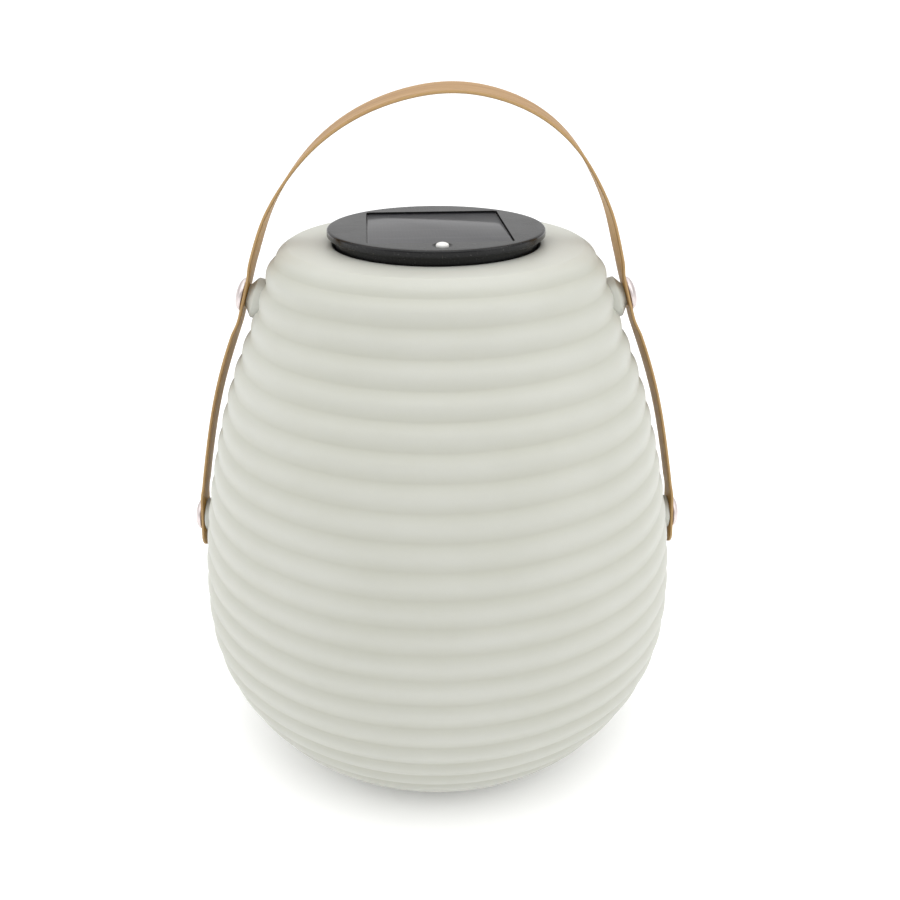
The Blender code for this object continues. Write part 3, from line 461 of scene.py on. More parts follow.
def noise(tree, coords, scale, detail=3.0, roughness=0.5, distortion=0.0):
    made = add(
        tree,
        "ShaderNodeTexNoise",
        {
            "Vector": coords,
            "Scale": scale,
            "Detail": detail,
            "Roughness": roughness,
            "Distortion": distortion,
        },
    )
    return made.outputs["Fac"]


def ramp(tree, factor, stops):
    """A colour ramp over (position, colour) stops."""
    made = add(tree, "ShaderNodeValToRGB", {"Fac": factor})
    elements = made.color_ramp.elements
    while len(elements) < len(stops):
        elements.new(0.5)
    for element, (place, colour) in zip(elements, stops):
        element.position = place
        element.color = (*colour, 1.0)
    return made.outputs["Color"]


def spread(tree, factor, low, high, from_low=0.3, from_high=0.7):
    """A factor stretched to the range from low to high."""
    return add(
        tree,
        "ShaderNodeMapRange",
        {"Value": factor, "From Min": from_low, "From Max": from_high, "To Min": low, "To Max": high},
    ).outputs["Result"]


def mix(tree, factor, first, second):
    """A blend of two colours. Inputs 6 and 7 are the node's colour pair, and output 2 its colour."""
    made = add(tree, "ShaderNodeMix", data_type="RGBA")
    sockets = (made.inputs["Factor"], made.inputs[6], made.inputs[7])
    for socket, value in zip(sockets, (factor, first, second)):
        if isinstance(value, bpy.types.NodeSocket):
            tree.links.new(value, socket)
        elif isinstance(value, tuple):
            socket.default_value = (*value, 1.0)
        else:
            socket.default_value = value
    return made.outputs[2]


def calc(tree, operation, first, second=0.0):
    made = add(tree, "ShaderNodeMath", operation=operation)
    for socket, value in ((made.inputs[0], first), (made.inputs[1], second)):
        if isinstance(value, bpy.types.NodeSocket):
            tree.links.new(value, socket)
        else:
            socket.default_value = value
    return made.outputs[0]


def bump(tree, shader, height, strength, distance, previous=None):
    made = add(tree, "ShaderNodeBump", {"Height": height, "Strength": strength, "Distance": distance})
    if previous:
        tree.links.new(previous, made.inputs["Normal"])
    tree.links.new(made.outputs["Normal"], shader.inputs["Normal"])
    return made.outputs["Normal"]


def shell_material():
    """Milky rotomoulded plastic: a slow waviness, a fine satin grain and painted shade that darkens the
    grooves.
    """
    made, tree, shader = start_material(
        "milky_shell",
        Subsurface_Weight=0.22,
        Subsurface_Radius=(1.0, 0.95, 0.8),
        Subsurface_Scale=0.004,
        Specular_IOR_Level=0.4,
    )
    coords = object_coords(tree)
    cloud = noise(tree, coords, 17.0, 4.0, 0.55)
    speck = noise(tree, coords, 900.0, 2.0)
    groove = add(tree, "ShaderNodeAttribute", attribute_name="groove").outputs["Fac"]
    tone = ramp(tree, cloud, [(0.3, (0.500, 0.506, 0.455)), (0.7, (0.530, 0.536, 0.491))])
    tone = mix(tree, spread(tree, speck, 0.0, 0.06), tone, (0.46, 0.45, 0.38))
    # painted shade: each vertex is darkened towards olive by how deep in a groove it lies
    tone = mix(tree, calc(tree, "MULTIPLY", groove, 0.26), tone, (0.36, 0.36, 0.27))
    tree.links.new(tone, shader.inputs["Base Color"])
    tree.links.new(spread(tree, cloud, 0.40, 0.50), shader.inputs["Roughness"])
    wave = bump(tree, shader, cloud, 0.25, 0.0010)
    bump(tree, shader, noise(tree, coords, 1400.0, 2.0), 0.10, 0.0002, wave)
    return made


def strap_material():
    """Wood-grain strap: long streaks and pores on its faces, a painted highlight that makes its edges
    paler, and a painted shade line along its corners, darkest on the inner side.
    """
    made, tree, shader = start_material("strap_grain", Specular_IOR_Level=0.35)
    grain = add(tree, "ShaderNodeAttribute", attribute_name="grain").outputs["Vector"]
    stretched = add(tree, "ShaderNodeMapping", {"Vector": grain, "Scale": (7.0, 210.0, 60.0)}).outputs[0]
    fine = add(tree, "ShaderNodeMapping", {"Vector": grain, "Scale": (22.0, 900.0, 200.0)}).outputs[0]
    pores = add(tree, "ShaderNodeMapping", {"Vector": grain, "Scale": (130.0, 1900.0, 500.0)}).outputs[0]
    streak = noise(tree, stretched, 1.0, 5.0, 0.62, 0.35)
    thread = noise(tree, fine, 1.0, 3.0, 0.6)
    pore = noise(tree, pores, 1.0, 2.0, 0.5)
    face = ramp(
        tree,
        streak,
        [(0.30, (0.290, 0.155, 0.058)), (0.48, (0.400, 0.235, 0.096)), (0.70, (0.500, 0.320, 0.148))],
    )
    back = ramp(
        tree,
        streak,
        [(0.30, (0.430, 0.205, 0.034)), (0.48, (0.560, 0.300, 0.054)), (0.70, (0.650, 0.385, 0.084))],
    )
    height = add(tree, "ShaderNodeSeparateXYZ", {"Vector": grain}).outputs["Z"]
    face = mix(tree, calc(tree, "LESS_THAN", height, 0.0), face, back)
    face = mix(tree, spread(tree, thread, 0.0, 0.35), face, (0.250, 0.130, 0.042))
    face = mix(tree, spread(tree, pore, 0.0, 0.55, 0.60, 0.74), face, (0.150, 0.078, 0.028))
    # painted highlight: the strap's edges are given a paler colour, with grain
    edge_highlight = mix(tree, spread(tree, thread, 0.0, 0.6), (0.460, 0.300, 0.130), (0.360, 0.220, 0.088))
    edge = add(tree, "ShaderNodeAttribute", attribute_name="edge").outputs["Fac"]
    tone = mix(tree, edge, face, edge_highlight)
    # painted shade: a dark line along the strap's corners, strongest on the inner side
    rim = add(tree, "ShaderNodeAttribute", attribute_name="rim").outputs["Fac"]
    tone = mix(tree, calc(tree, "MULTIPLY", rim, 0.55), tone, (0.150, 0.085, 0.040))
    tree.links.new(tone, shader.inputs["Base Color"])
    tree.links.new(spread(tree, thread, 0.42, 0.56), shader.inputs["Roughness"])
    relief = bump(tree, shader, streak, 0.25, 0.0004)
    bump(tree, shader, thread, 0.30, 0.0002, relief)
    return made


def gloss_black():
    """Black gloss plastic with faint smudges, dust and hairline scratches."""
    tone = (0.006, 0.006, 0.0065)
    shine = 0.20
    made, tree, shader = start_material("lid_gloss", IOR=1.5, Specular_IOR_Level=0.30)
    coords = object_coords(tree)
    smudge = noise(tree, coords, 38.0, 4.0, 0.6)
    dust = noise(tree, coords, 1600.0, 1.0)
    scratch = noise(tree, object_coords(tree, (60.0, 900.0, 300.0)), 1.0, 2.0, 0.5, 0.4)
    colour = mix(tree, spread(tree, dust, 0.0, 0.35, 0.66, 0.80), tone, (0.22, 0.22, 0.21))
    tree.links.new(colour, shader.inputs["Base Color"])
    smeared = spread(tree, smudge, shine, shine + 0.09)
    scratched = spread(tree, scratch, 0.0, 0.10, 0.6, 0.8)
    rough = calc(tree, "ADD", smeared, scratched)
    tree.links.new(rough, shader.inputs["Roughness"])
    bump(tree, shader, scratch, 0.03, 0.00005)
    return made


def panel_material():
    """Solar cells under clear resin: dark cells with fine fingers, two bus bars and cut lines."""
    made, tree, shader = start_material(
        "solar_cells",
        Coat_Weight=0.5,
        Coat_Roughness=0.12,
        Roughness=0.35,
        IOR=1.5,
        Specular_IOR_Level=0.3,
    )
    placed = add(tree, "ShaderNodeTexCoord").outputs["Object"]
    unturn = MODULE_TURN.inverted().to_euler()
    turned = add(tree, "ShaderNodeMapping", {"Vector": placed, "Rotation": unturn})
    coords = turned.outputs["Vector"]
    parts = add(tree, "ShaderNodeSeparateXYZ", {"Vector": coords})
    x, y = parts.outputs["X"], parts.outputs["Y"]

    def lines(value, pitch, width):
        """1 on lines of a width that repeat at a pitch."""
        moved = calc(tree, "ADD", value, 10.0 * pitch + pitch / 2)
        share = calc(tree, "FRACT", calc(tree, "DIVIDE", moved, pitch))
        away = calc(tree, "ABSOLUTE", calc(tree, "SUBTRACT", share, 0.5))
        return calc(tree, "LESS_THAN", away, width / pitch / 2)

    length = panel_high.y - panel_low.y
    crystal = noise(tree, coords, 70.0, 3.0, 0.6)
    tone = ramp(tree, crystal, [(0.35, (0.010, 0.010, 0.013)), (0.65, (0.016, 0.016, 0.021))])
    tone = mix(tree, calc(tree, "MULTIPLY", lines(x, 0.0018, 0.00012), 0.2), tone, (0.10, 0.10, 0.11))
    bars = lines(calc(tree, "ADD", y, length / 16), length / 4, 0.0006)
    tone = mix(tree, bars, tone, (0.04, 0.04, 0.045))
    tone = mix(tree, lines(y, length / 8, 0.0003), tone, (0.005, 0.005, 0.006))
    tree.links.new(tone, shader.inputs["Base Color"])
    bump(tree, shader, crystal, 0.02, 0.00005)
    return made


def metal(name, colour, roughness, brushed=(300.0, 300.0, 300.0)):
    """Plated metal with fine brushing and a slightly uneven lustre."""
    made, tree, shader = start_material(name, Metallic=1.0)
    coords = object_coords(tree)
    cloud = noise(tree, coords, 120.0, 3.0)
    hair = noise(tree, object_coords(tree, brushed), 1.0, 3.0, 0.6)
    darker = tuple(0.86 * c for c in colour)
    tree.links.new(mix(tree, spread(tree, cloud, 0.0, 0.6), colour, darker), shader.inputs["Base Color"])
    rough = spread(tree, hair, roughness, roughness + 0.12)
    tree.links.new(rough, shader.inputs["Roughness"])
    bump(tree, shader, hair, 0.06, 0.0001)
    return made


def plastic(
    name, colour, second, roughness, cloud_scale=60.0, grain_scale=1500.0, grain=0.10, **sockets
):
    """Moulded plastic or rubber: a soft tone change, a fine grain and uneven gloss."""
    made, tree, shader = start_material(name, **sockets)
    coords = object_coords(tree)
    cloud = noise(tree, coords, cloud_scale, 4.0, 0.6)
    fine = noise(tree, coords, grain_scale, 2.0)
    tree.links.new(mix(tree, spread(tree, cloud, 0.0, 1.0), colour, second), shader.inputs["Base Color"])
    tree.links.new(spread(tree, fine, roughness - 0.05, roughness + 0.08), shader.inputs["Roughness"])
    bump(tree, shader, fine, grain, 0.0002)
    return made


def board_material():
    """Green solder mask over copper tracks, with tinned pads."""
    made, tree, shader = start_material("solder_mask", Coat_Weight=0.4, Coat_Roughness=0.2)
    coords = add(tree, "ShaderNodeTexCoord").outputs["Object"]
    tracks = add(tree, "ShaderNodeTexBrick", {"Vector": coords, "Scale": 1.0, "Mortar Size": 0.0006})
    tracks.inputs["Brick Width"].default_value = 0.009
    tracks.inputs["Row Height"].default_value = 0.0026
    spots = add(tree, "ShaderNodeTexVoronoi", {"Vector": coords, "Scale": 260.0})
    pads = calc(tree, "LESS_THAN", spots.outputs["Distance"], 0.16)
    tone = mix(tree, tracks.outputs["Fac"], (0.012, 0.110, 0.038), (0.030, 0.210, 0.075))
    tone = mix(tree, pads, tone, (0.62, 0.60, 0.55))
    tree.links.new(tone, shader.inputs["Base Color"])
    tree.links.new(spread(tree, noise(tree, coords, 300.0), 0.30, 0.42), shader.inputs["Roughness"])
    bump(tree, shader, tracks.outputs["Fac"], 0.3, 0.0001)
    return made


def banded(name, colour, second, pitch, roughness, metallic=0.0):
    """Bands round a wound or sleeved piece, along X."""
    made, tree, shader = start_material(name, Metallic=metallic)
    coords = object_coords(tree)
    inputs = {"Vector": coords, "Scale": 0.5 / pitch, "Distortion": 0.4, "Detail": 1.0}
    wave = add(tree, "ShaderNodeTexWave", inputs)
    wave.bands_direction = "X"
    fine = noise(tree, coords, 400.0)
    tree.links.new(mix(tree, wave.outputs["Fac"], colour, second), shader.inputs["Base Color"])
    tree.links.new(spread(tree, fine, roughness, roughness + 0.1), shader.inputs["Roughness"])
    bump(tree, shader, wave.outputs["Fac"], 0.15, 0.0002)
    return made


MATERIALS = {
    "shell": shell_material(),
    "strap": strap_material(),
    "rivet": metal("rivet_nickel", (0.70, 0.63, 0.62), 0.32),
    "lid": gloss_black(),
    "panel": panel_material(),
    "button": plastic("button_white", (0.84, 0.84, 0.82), (0.76, 0.76, 0.74), 0.35, Coat_Weight=0.2),
    "silicone": plastic("seal_silicone", (0.30, 0.30, 0.30), (0.24, 0.24, 0.24), 0.6, grain=0.3),
    "foam": plastic("tape_foam", (0.06, 0.06, 0.06), (0.10, 0.10, 0.10), 0.9, 400.0, 2600.0, 0.8),
    "board": board_material(),
    "led_board": plastic("mask_white", (0.82, 0.82, 0.80), (0.74, 0.74, 0.72), 0.35),
    "chip": plastic("chip_epoxy", (0.025, 0.025, 0.025), (0.04, 0.04, 0.04), 0.55, grain=0.3),
    "copper": banded("coil_copper", (0.72, 0.36, 0.16), (0.42, 0.17, 0.06), 0.0005, 0.3, 1.0),
    "lamp": plastic("lamp_phosphor", (0.86, 0.74, 0.22), (0.80, 0.62, 0.14), 0.4, Coat_Weight=0.5),
    "cover": plastic(
        "cover_frosted", (0.86, 0.87, 0.85), (0.80, 0.81, 0.78), 0.38, Subsurface_Weight=0.3
    ),
    "holder": plastic("holder_black", (0.022, 0.022, 0.022), (0.035, 0.035, 0.035), 0.5, grain=0.25),
    "cell": banded("cell_sleeve", (0.05, 0.26, 0.11), (0.08, 0.36, 0.17), 0.02, 0.3),
    "steel": metal("plated_steel", (0.66, 0.66, 0.67), 0.22, (900.0, 60.0, 60.0)),
    "wire_red": plastic("wire_red", (0.55, 0.025, 0.02), (0.45, 0.015, 0.012), 0.45),
    "wire_black": plastic("wire_black", (0.02, 0.02, 0.02), (0.035, 0.035, 0.035), 0.45),
}


def dress(piece, slot_name, body, replaced):
    """Give a new piece the material for its slot and its body, and hide the CAD nodes that it stands
    for.
    """
    piece.data.materials.clear()
    piece.data.materials.append(MATERIALS[slot_name])
    if body in ("light_module", "button"):
        piece.data.transform(MODULE_TURN)
    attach(piece, body)
    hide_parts(*replaced)
    return piece


# ---------------------------------------------------------------- shell

RIB_ROUNDNESS = 1.45
RIB_SHARES = (0.0, 0.03, 0.07, 0.12, 0.18, 0.26, 0.35, 0.45, 0.55, 0.65, 0.74, 0.82, 0.88, 0.93, 0.97)


def groove_depth(share):
    """Share of the rib depth at a share of the pitch: a soft valley at 0 and a round crest at 0.5."""
    return 1.0 - sin(pi * (share % 1.0)) ** RIB_ROUNDNESS


def side_points():
    """(radius, height, groove) from the base's edge to the top plate's edge."""
    total = outline_along[-1]
    top_groove = total - FIRST_RIB
    count = int((top_groove - PLAIN_HEEL) / RIB_PITCH) + 1
    first_groove = top_groove - (count - 1) * RIB_PITCH
    fade = 0.5 * RIB_PITCH

    def at(along):
        offset = (along - first_groove) / RIB_PITCH
        if offset < -0.5 or offset > count - 0.5:
            groove = 0.0
        elif offset < 0.0 or offset > count - 1.0:
            away = min(abs(offset), abs(offset - (count - 1.0))) * RIB_PITCH / fade
            groove = groove_depth(min(away, 1.0) * 0.5)
        else:
            groove = groove_depth(offset)
        r, z = outline_point(along, groove * RIB_DEPTH)
        return (r, z, groove)

    heel = [at(first_groove - fade - (first_groove - fade) * (1 - step / 14)) for step in range(14)]
    below = [at(first_groove - fade * (1 - share)) for share in (0.0, 0.2, 0.4, 0.6, 0.78, 0.9, 0.96)]
    ribs = []
    for index in range(count - 1):
        for share in RIB_SHARES:
            ribs.append(at(first_groove + (index + share) * RIB_PITCH))
    shares = (0.0, 0.04, 0.10, 0.22, 0.4, 0.6, 0.8, 1.0)
    above = [at(top_groove + fade * share) for share in shares]
    rest = total - top_groove - fade
    shoulder = [at(top_groove + fade + rest * share) for share in (0.35, 0.7, 0.97)]
    return heel + below + ribs + above + shoulder


def make_shell():
    """The ribbed wall with its neck and ledge, the rivets' bosses and their holes."""
    side = side_points()
    base_radius = side[0][0]
    dish = 0.0009
    profile = [(0.0, dish), (0.60 * base_radius, dish), (0.64 * base_radius, 0.0)]
    profile += [(base_radius - 0.0012, 0.0)]
    profile += [(r, z) for r, z, _ in side]
    top_edge = side[-1][0] - 0.0006
    neck_outside = neck_radius + WALL
    lip = 0.0012
    profile += [(top_edge, SHELL_HEIGHT)]
    profile += arc(neck_radius + lip, SHELL_HEIGHT - lip, lip, 90, 180, 4)
    profile += [
        (neck_radius, ledge_z),
        (throat_radius, ledge_z),
        (throat_radius, ledge_z - LEDGE_THICKNESS),
        (neck_outside, ledge_z - LEDGE_THICKNESS),
        (neck_outside, SHELL_HEIGHT - LEDGE_THICKNESS - RIB_DEPTH),
    ]
    top = SHELL_HEIGHT - WALL - RIB_DEPTH
    for step in range(31):
        share = 0.5 - 0.5 * cos(pi * step / 30)
        height = top + (WALL - top) * share
        radius = crest_radius(height + WALL * share) - RIB_DEPTH - WALL
        profile.append((radius, height))
    profile.append((0.0, WALL))
    shell = lathe("shell_ribbed", profile, SHELL_FACETS)
    store_grooves(shell, side)

    bosses = bmesh.new()
    holes = bmesh.new()
    for name in RIVETS:
        depth = wall_depth(name)
        outer = -strap_half - GAP
        fillet = 0.0006
        if name.startswith("upper"):
            boss = [
                (0.0, -depth),
                (BOSS_RADIUS, -depth),
                (BOSS_RADIUS, outer - BOSS_CONE - fillet),
                (BOSS_RADIUS - 0.3 * fillet, outer - BOSS_CONE),
                (BOSS_TOP_RADIUS + fillet, outer - fillet),
                (BOSS_TOP_RADIUS, outer),
                (0.0, outer),
            ]
        else:
            boss = [
                (0.0, -depth),
                (PAD_RADIUS, -depth),
                (PAD_RADIUS, outer - fillet),
                (PAD_RADIUS - fillet, outer),
                (0.0, outer),
            ]
        matrix = along_rivet(name)
        lathe_into(bosses, boss, SMALL_FACETS, matrix)
        low = -depth - 0.01
        high = 0.01
        hole = [(0.0, low), (RIVET_HOLE, low), (RIVET_HOLE, high), (0.0, high)]
        lathe_into(holes, hole, HOLE_FACETS, matrix)
    boolean(shell, finish_mesh("bosses", bosses), "UNION")
    boolean(shell, finish_mesh("rivet_holes", holes), "DIFFERENCE")
    return dress(shell, "shell", "lantern", ["diffuser_shell"])


def store_grooves(shell, side):
    """Store how deep in a groove each vertex lies, for the material's painted groove shade."""
    radii, heights, depths = np.array(side).T
    co = np.zeros(len(shell.data.vertices) * 3, np.float32)
    shell.data.vertices.foreach_get("co", co)
    co = co.reshape(-1, 3)
    r = np.hypot(co[:, 0], co[:, 1])
    nearest = np.array([np.argmin(np.hypot(radii - a, heights - b)) for a, b in zip(r, co[:, 2])])
    away = np.hypot(radii[nearest] - r, heights[nearest] - co[:, 2])
    groove = np.where(away < 1e-5, depths[nearest], 0.0).astype(np.float32)
    attribute = shell.data.attributes.new("groove", "FLOAT", "POINT")
    attribute.data.foreach_set("value", groove)


# ---------------------------------------------------------------- strap and rivets


def end_width(distance):
    """Half width of the strap at a distance from its rounded end."""
    half = STRAP_WIDTH / 2
    if distance >= half:
        return half
    inset = half - distance
    return max((half**2 - inset**2) ** 0.5, 0.05 * half)


def strap_section():
    """(across, outward, edge, rim) points round the strap's section, with rounded edges. Edge is the
    share of the painted edge highlight, and rim the share of the painted corner shade.
    """
    half = STRAP_WIDTH / 2
    round_edge = 0.00045
    flat = half - round_edge
    section = []
    faces = (-1.0, -0.8, -0.5, -0.2, 0.2, 0.5, 0.8, 1.0)
    for share in faces:
        section.append((share * (flat - 0.0004), strap_half, 0.0, 0.0))
    section.append((flat, strap_half, 0.0, 0.35))
    section.append((half - 0.3 * round_edge, strap_half - 0.3 * round_edge, 0.9, 0.0))
    section.append((half, strap_half - round_edge, 1.0, 0.0))
    section.append((half, -strap_half + round_edge, 1.0, 0.3))
    section.append((half - 0.3 * round_edge, -strap_half + 0.3 * round_edge, 0.9, 1.0))
    section.append((flat, -strap_half, 0.0, 0.8))
    for share in reversed(faces):
        section.append((share * (flat - 0.0004), -strap_half, 0.0, 0.0))
    section.append((-flat, -strap_half, 0.0, 0.8))
    section.append((-half + 0.3 * round_edge, -strap_half + 0.3 * round_edge, 0.9, 1.0))
    section.append((-half, -strap_half + round_edge, 1.0, 0.3))
    section.append((-half, strap_half - round_edge, 1.0, 0.0))
    section.append((-half + 0.3 * round_edge, strap_half - 0.3 * round_edge, 0.9, 0.0))
    section.append((-flat, strap_half, 0.0, 0.35))
    return section


def make_strap():
    total = strap_along[-1]
    half = STRAP_WIDTH / 2
    ends = [half * (1 - cos(pi / 2 * step / 12)) for step in range(12)]
    middle = list(np.linspace(half, total - half, 300))
    stations = ends + middle + [total - step for step in reversed(ends)]
    section = strap_section()
    mesh_data = bmesh.new()
    grain = mesh_data.verts.layers.float_vector.new("grain")
    # edge carries the painted edge highlight and rim the painted corner shade
    edge = mesh_data.verts.layers.float.new("edge")
    rim = mesh_data.verts.layers.float.new("rim")
    rings = []
    for along in stations:
        centre, width, outward = strap_frame(along)
        reach = end_width(min(along, total - along)) / half
        ring = []
        for across, height, edge_highlight_share, rim_shade_share in section:
            vert = mesh_data.verts.new(centre + width * across * reach + outward * height)
            vert[grain] = (along, across, height)
            vert[edge] = edge_highlight_share
            vert[rim] = rim_shade_share
            ring.append(vert)
        rings.append(ring)
    for ring, following in zip(rings, rings[1:]):
        for side in range(len(section)):
            other = (side + 1) % len(section)
            mesh_data.faces.new((ring[side], ring[other], following[other], following[side]))
    mesh_data.faces.new(rings[0])
    mesh_data.faces.new(rings[-1])
    strap = finish_mesh("strap_band", mesh_data, 50.0)
    holes = bmesh.new()
    reach = 0.004
    hole = [(0.0, -reach), (RIVET_HOLE, -reach), (RIVET_HOLE, reach), (0.0, reach)]
    for name in RIVETS:
        lathe_into(holes, hole, HOLE_FACETS, along_rivet(name))
    boolean(strap, finish_mesh("strap_holes", holes), "DIFFERENCE")
    return dress(strap, "strap", "lantern", ["handle_strap"])


def make_rivets():
    """The domed heads with their barrels, on the four rivets' axes."""
    for name in RIVETS:
        depth = wall_depth(name)
        base = strap_half + GAP
        rim = 0.0007
        soft = 0.0003
        inner = RIVET_HEAD_RADIUS - soft
        head = [(inner, base), (RIVET_HEAD_RADIUS, base + soft)]
        head += [(RIVET_HEAD_RADIUS, base + rim - 0.0002), (inner, base + rim)]
        for step in range(1, 13):
            angle = pi / 2 * step / 13
            head.append((inner * cos(angle), base + rim + (RIVET_HEAD_HEIGHT - rim) * sin(angle)))
        head.append((0.0, base + RIVET_HEAD_HEIGHT))
        barrel_end = -depth - 0.0034
        barrel = [(0.0, barrel_end), (RIVET_BARREL_RADIUS, barrel_end), (RIVET_BARREL_RADIUS, base)]
        matrix = along_rivet(name)
        rivet = lathe(f"rivet_head_{name}", barrel + head, SMALL_FACETS, matrix, sharp_angle=40.0)
        dress(rivet, "rivet", "lantern", [f"rivet_{name}"])


# ---------------------------------------------------------------- light module


def make_lid():
    """The lid with its panel recess and button bore, and the solar panel in it."""
    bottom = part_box("module_housing")[1].z + GAP
    past = 0.002
    chamfer = 0.0005
    spigot_depth = 0.003
    spigot_radius = COLLAR_RADIUS - COLLAR_WALL - GAP
    spigot_wall = 0.0014
    edge = 0.0012
    profile = [(0.0, LID_TOP), (LID_RADIUS - 3 * edge, LID_TOP)]
    profile += arc(LID_RADIUS - edge, LID_TOP - edge, edge, 90, 0, 8)
    profile += [
        (LID_RADIUS, bottom + chamfer),
        (LID_RADIUS - chamfer, bottom),
        (spigot_radius, bottom),
        (spigot_radius, bottom - spigot_depth),
        (spigot_radius - spigot_wall, bottom - spigot_depth),
        (spigot_radius - spigot_wall, bottom),
        (0.0, bottom),
    ]
    lid = lathe("lid_disc", profile, MODULE_FACETS)
    button_y = (button_low.y + button_high.y) / 2
    bore = BUTTON_RADIUS + BUTTON_CLEARANCE
    cuts = bmesh.new()
    sink = [
        (0.0, bottom - past),
        (bore, bottom - past),
        (bore, LID_TOP - SINK_DEPTH),
        (SINK_RADIUS, LID_TOP + 0.0002),
        (SINK_RADIUS, LID_TOP + past),
        (0.0, LID_TOP + past),
    ]
    lathe_into(cuts, sink, SMALL_FACETS, Matrix.Translation((0.0, button_y, 0.0)))
    clear = PANEL_CLEARANCE
    recess_corner = 0.002
    rounded_plate(
        cuts,
        Vector((panel_low.x - clear, panel_low.y - clear, LID_TOP - RECESS_DEPTH)),
        Vector((panel_high.x + clear, panel_high.y + clear, LID_TOP + past)),
        recess_corner,
    )
    boolean(lid, finish_mesh("lid_cuts", cuts), "DIFFERENCE")
    dress(lid, "lid", "light_module", ["lid_cover"])

    panel_data = bmesh.new()
    panel_corner = 0.0018
    rounded_plate(panel_data, panel_low, panel_high, panel_corner)
    top = panel_high.z - 1e-6
    edges = [e for e in panel_data.edges if min(v.co.z for v in e.verts) > top]
    bmesh.ops.bevel(panel_data, geom=edges, offset=0.0002, segments=2, affect="EDGES", profile=0.5)
    panel = finish_mesh("panel_laminate", panel_data)
    dress(panel, "panel", "light_module", ["solar_panel"])


def make_button():
    button_y = (button_low.y + button_high.y) / 2
    flange_radius = (button_high.y - button_low.y) / 2
    crown = button_high.z
    flange_bottom = button_low.z
    flange_top = flange_bottom + 0.0010
    dome = 0.0015
    profile = [(0.0, flange_bottom), (flange_radius, flange_bottom), (flange_radius, flange_top)]
    profile += [(BUTTON_RADIUS, flange_top)]
    for step in range(9):
        angle = pi / 2 * step / 9
        profile.append((BUTTON_RADIUS * cos(angle), crown - dome + dome * sin(angle)))
    profile.append((0.0, crown))
    button = lathe("button_cap", profile, SMALL_FACETS, Matrix.Translation((0.0, button_y, 0.0)))
    dress(button, "button", "button", ["mode_button"])


def make_housing():
    """The module's cup, with a groove round the lamp cover, and the seal ring under its collar."""
    groove_in = cover_radius + 0.0006
    groove_out = cover_radius + 0.0016
    groove_top = POD_BOTTOM + 0.0004
    round_foot = 0.001
    collar_bottom = seal_high.z + GAP
    pod_inner = pod_radius - POD_WALL
    collar_inner = COLLAR_RADIUS - COLLAR_WALL
    lip = 0.0004
    profile = [
        (0.0, POD_BOTTOM),
        (groove_in, POD_BOTTOM),
        (groove_in, groove_top),
        (groove_out, groove_top),
        (groove_out, POD_BOTTOM),
    ]
    profile += arc(pod_radius - round_foot, POD_BOTTOM + round_foot, round_foot, -90, 0, 5)
    profile += [
        (pod_radius, collar_bottom),
        (COLLAR_RADIUS, collar_bottom),
        (COLLAR_RADIUS, COLLAR_TOP - lip),
        (COLLAR_RADIUS - lip, COLLAR_TOP),
        (collar_inner, COLLAR_TOP),
        (collar_inner, collar_bottom + POD_WALL),
        (pod_inner, collar_bottom + POD_WALL),
        (pod_inner, POD_BOTTOM + POD_FLOOR),
        (0.0, POD_BOTTOM + POD_FLOOR),
    ]
    housing = lathe("housing_cup", profile, MODULE_FACETS)
    dress(housing, "lid", "light_module", ["module_housing"])

    seal_inner = pod_radius + GAP
    seal_outer = COLLAR_RADIUS - GAP
    middle = (seal_low.z + seal_high.z) / 2
    half = (seal_high.z - seal_low.z) / 2
    seal = arc(seal_outer - half, middle, half, -90, 90, 8)
    seal += arc(seal_inner + half, middle, half, 90, 270, 8)
    band = lathe("seal_band", seal, MODULE_FACETS, closed=True)
    dress(band, "silicone", "light_module", ["seal_ring"])


def make_lamp_cover():
    top = cover_high.z
    radius = cover_radius
    bottom = cover_low.z
    wall = 0.0016
    straight = 0.0027
    steps = 16
    outer = []
    inner = []
    for step in range(steps + 1):
        angle = pi / 2 * step / steps
        outer.append((radius * sin(angle), top - straight - (top - straight - bottom) * cos(angle)))
        inner_drop = top - straight - bottom - wall
        inner.append(((radius - wall) * sin(angle), top - straight - inner_drop * cos(angle)))
    profile = outer + [(radius, top), (radius - wall, top)] + inner[::-1]
    cover = lathe("lamp_cover", profile, COVER_FACETS)
    dress(cover, "cover", "light_module", ["led_cover"])


# ---------------------------------------------------------------- carried-over nodes


def dress_cad_nodes():
    slots = {entry["node"]: entry["material_slot"] for entry in frame["record"]["subparts"]}
    for name, node in frame["nodes"].items():
        if node.hide_render:
            continue
        node.data.materials.clear()
        node.data.materials.append(MATERIALS[slots[name]])


# ---------------------------------------------------------------- stage, light and camera


def make_stage():
    floor = lathe("studio_floor", [(radius, 0.0) for radius in FLOOR_RADII])
    made, tree, shader = start_material(
        "studio_paper",
        Roughness=0.9,
        Specular_IOR_Level=0.1,
        Emission_Color=(1.0, 1.0, 1.0, 1.0),
        Emission_Strength=0.12,
    )
    coords = object_coords(tree)
    tone = ramp(tree, noise(tree, coords, 3.0), [(0.3, (0.93, 0.93, 0.93)), (0.7, (0.95, 0.95, 0.95))])
    tree.links.new(tone, shader.inputs["Base Color"])
    floor.data.materials.append(made)


def area_light(name, place, size, power):
    data = bpy.data.lights.new(name, "AREA")
    data.shape = "RECTANGLE"
    data.size, data.size_y = size
    data.energy = power
    lamp = bpy.data.objects.new(name, data)
    bpy.context.scene.collection.objects.link(lamp)
    lamp.location = place
    lamp.rotation_euler = (LIGHT_AIM - Vector(place)).to_track_quat("-Z", "Y").to_euler()


FLOOR_RADII = (0.0, 0.5, 5.0, 60.0, 600.0, 6000.0)

# Strength of the studio's surroundings, low in front, low behind and overhead
SKY_FRONT = 0.38
SKY_BACK = 0.72
SKY_TOP = 1.6

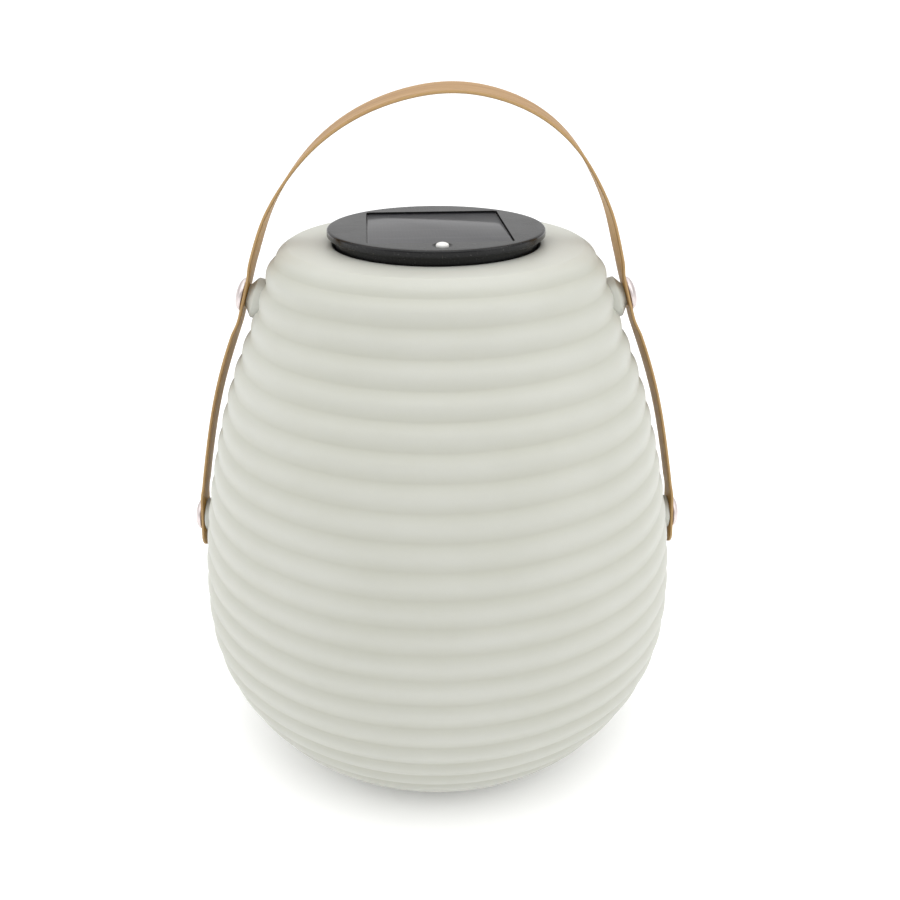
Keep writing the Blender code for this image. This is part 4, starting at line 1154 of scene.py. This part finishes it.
# Each light's name, place, width and height, and power in watts
LIGHTS = (
    ("key_right", (1.3, -0.6, 0.9), (0.9, 1.2), 4.5),
    ("top_front", (0.0, -0.55, 1.5), (0.9, 0.9), 3.0),
    ("fill_left", (-1.3, -0.4, 0.8), (0.9, 1.2), 3.0),
)
LIGHT_AIM = Vector((0.0, 0.0, 0.15))

CAMERA_PLACE = (0.0, -0.5048, 0.3935)
CAMERA_TILT = 65.72
CAMERA_PAN = -0.79
CAMERA_LENS = 39.91
CAMERA_SENSOR = 36.0


def make_light():
    world = bpy.data.worlds.new("studio")
    bpy.context.scene.world = world
    world.use_nodes = True
    tree = world.node_tree
    background = tree.nodes["Background"]
    background.inputs["Color"].default_value = (1.0, 1.0, 1.0, 1.0)
    direction = add(tree, "ShaderNodeTexCoord").outputs["Generated"]
    parts = add(tree, "ShaderNodeSeparateXYZ", {"Vector": direction})
    sides = add(
        tree,
        "ShaderNodeMapRange",
        {
            "Value": parts.outputs["Y"],
            "From Min": -0.7,
            "From Max": 0.7,
            "To Min": SKY_FRONT,
            "To Max": SKY_BACK,
        },
        interpolation_type="SMOOTHSTEP",
    ).outputs["Result"]
    height = add(
        tree,
        "ShaderNodeMapRange",
        {"Value": parts.outputs["Z"], "From Min": 0.2, "From Max": 0.95},
        interpolation_type="SMOOTHSTEP",
    ).outputs["Result"]
    rise = calc(tree, "MULTIPLY", height, calc(tree, "SUBTRACT", SKY_TOP, sides))
    tree.links.new(calc(tree, "ADD", sides, rise), background.inputs["Strength"])
    for name, place, size, power in LIGHTS:
        area_light(name, place, size, power)


def make_camera():
    data = bpy.data.cameras.new("camera")
    data.lens = CAMERA_LENS
    data.sensor_width = CAMERA_SENSOR
    camera = bpy.data.objects.new("camera", data)
    bpy.context.scene.collection.objects.link(camera)
    camera.location = CAMERA_PLACE
    camera.rotation_euler = (radians(CAMERA_TILT), 0.0, radians(CAMERA_PAN))
    bpy.context.scene.camera = camera


make_shell()
make_strap()
make_rivets()
make_lid()
make_button()
make_housing()
make_lamp_cover()
dress_cad_nodes()
make_stage()
make_light()
make_camera()
bpy.context.scene.view_settings.view_transform = "Standard"
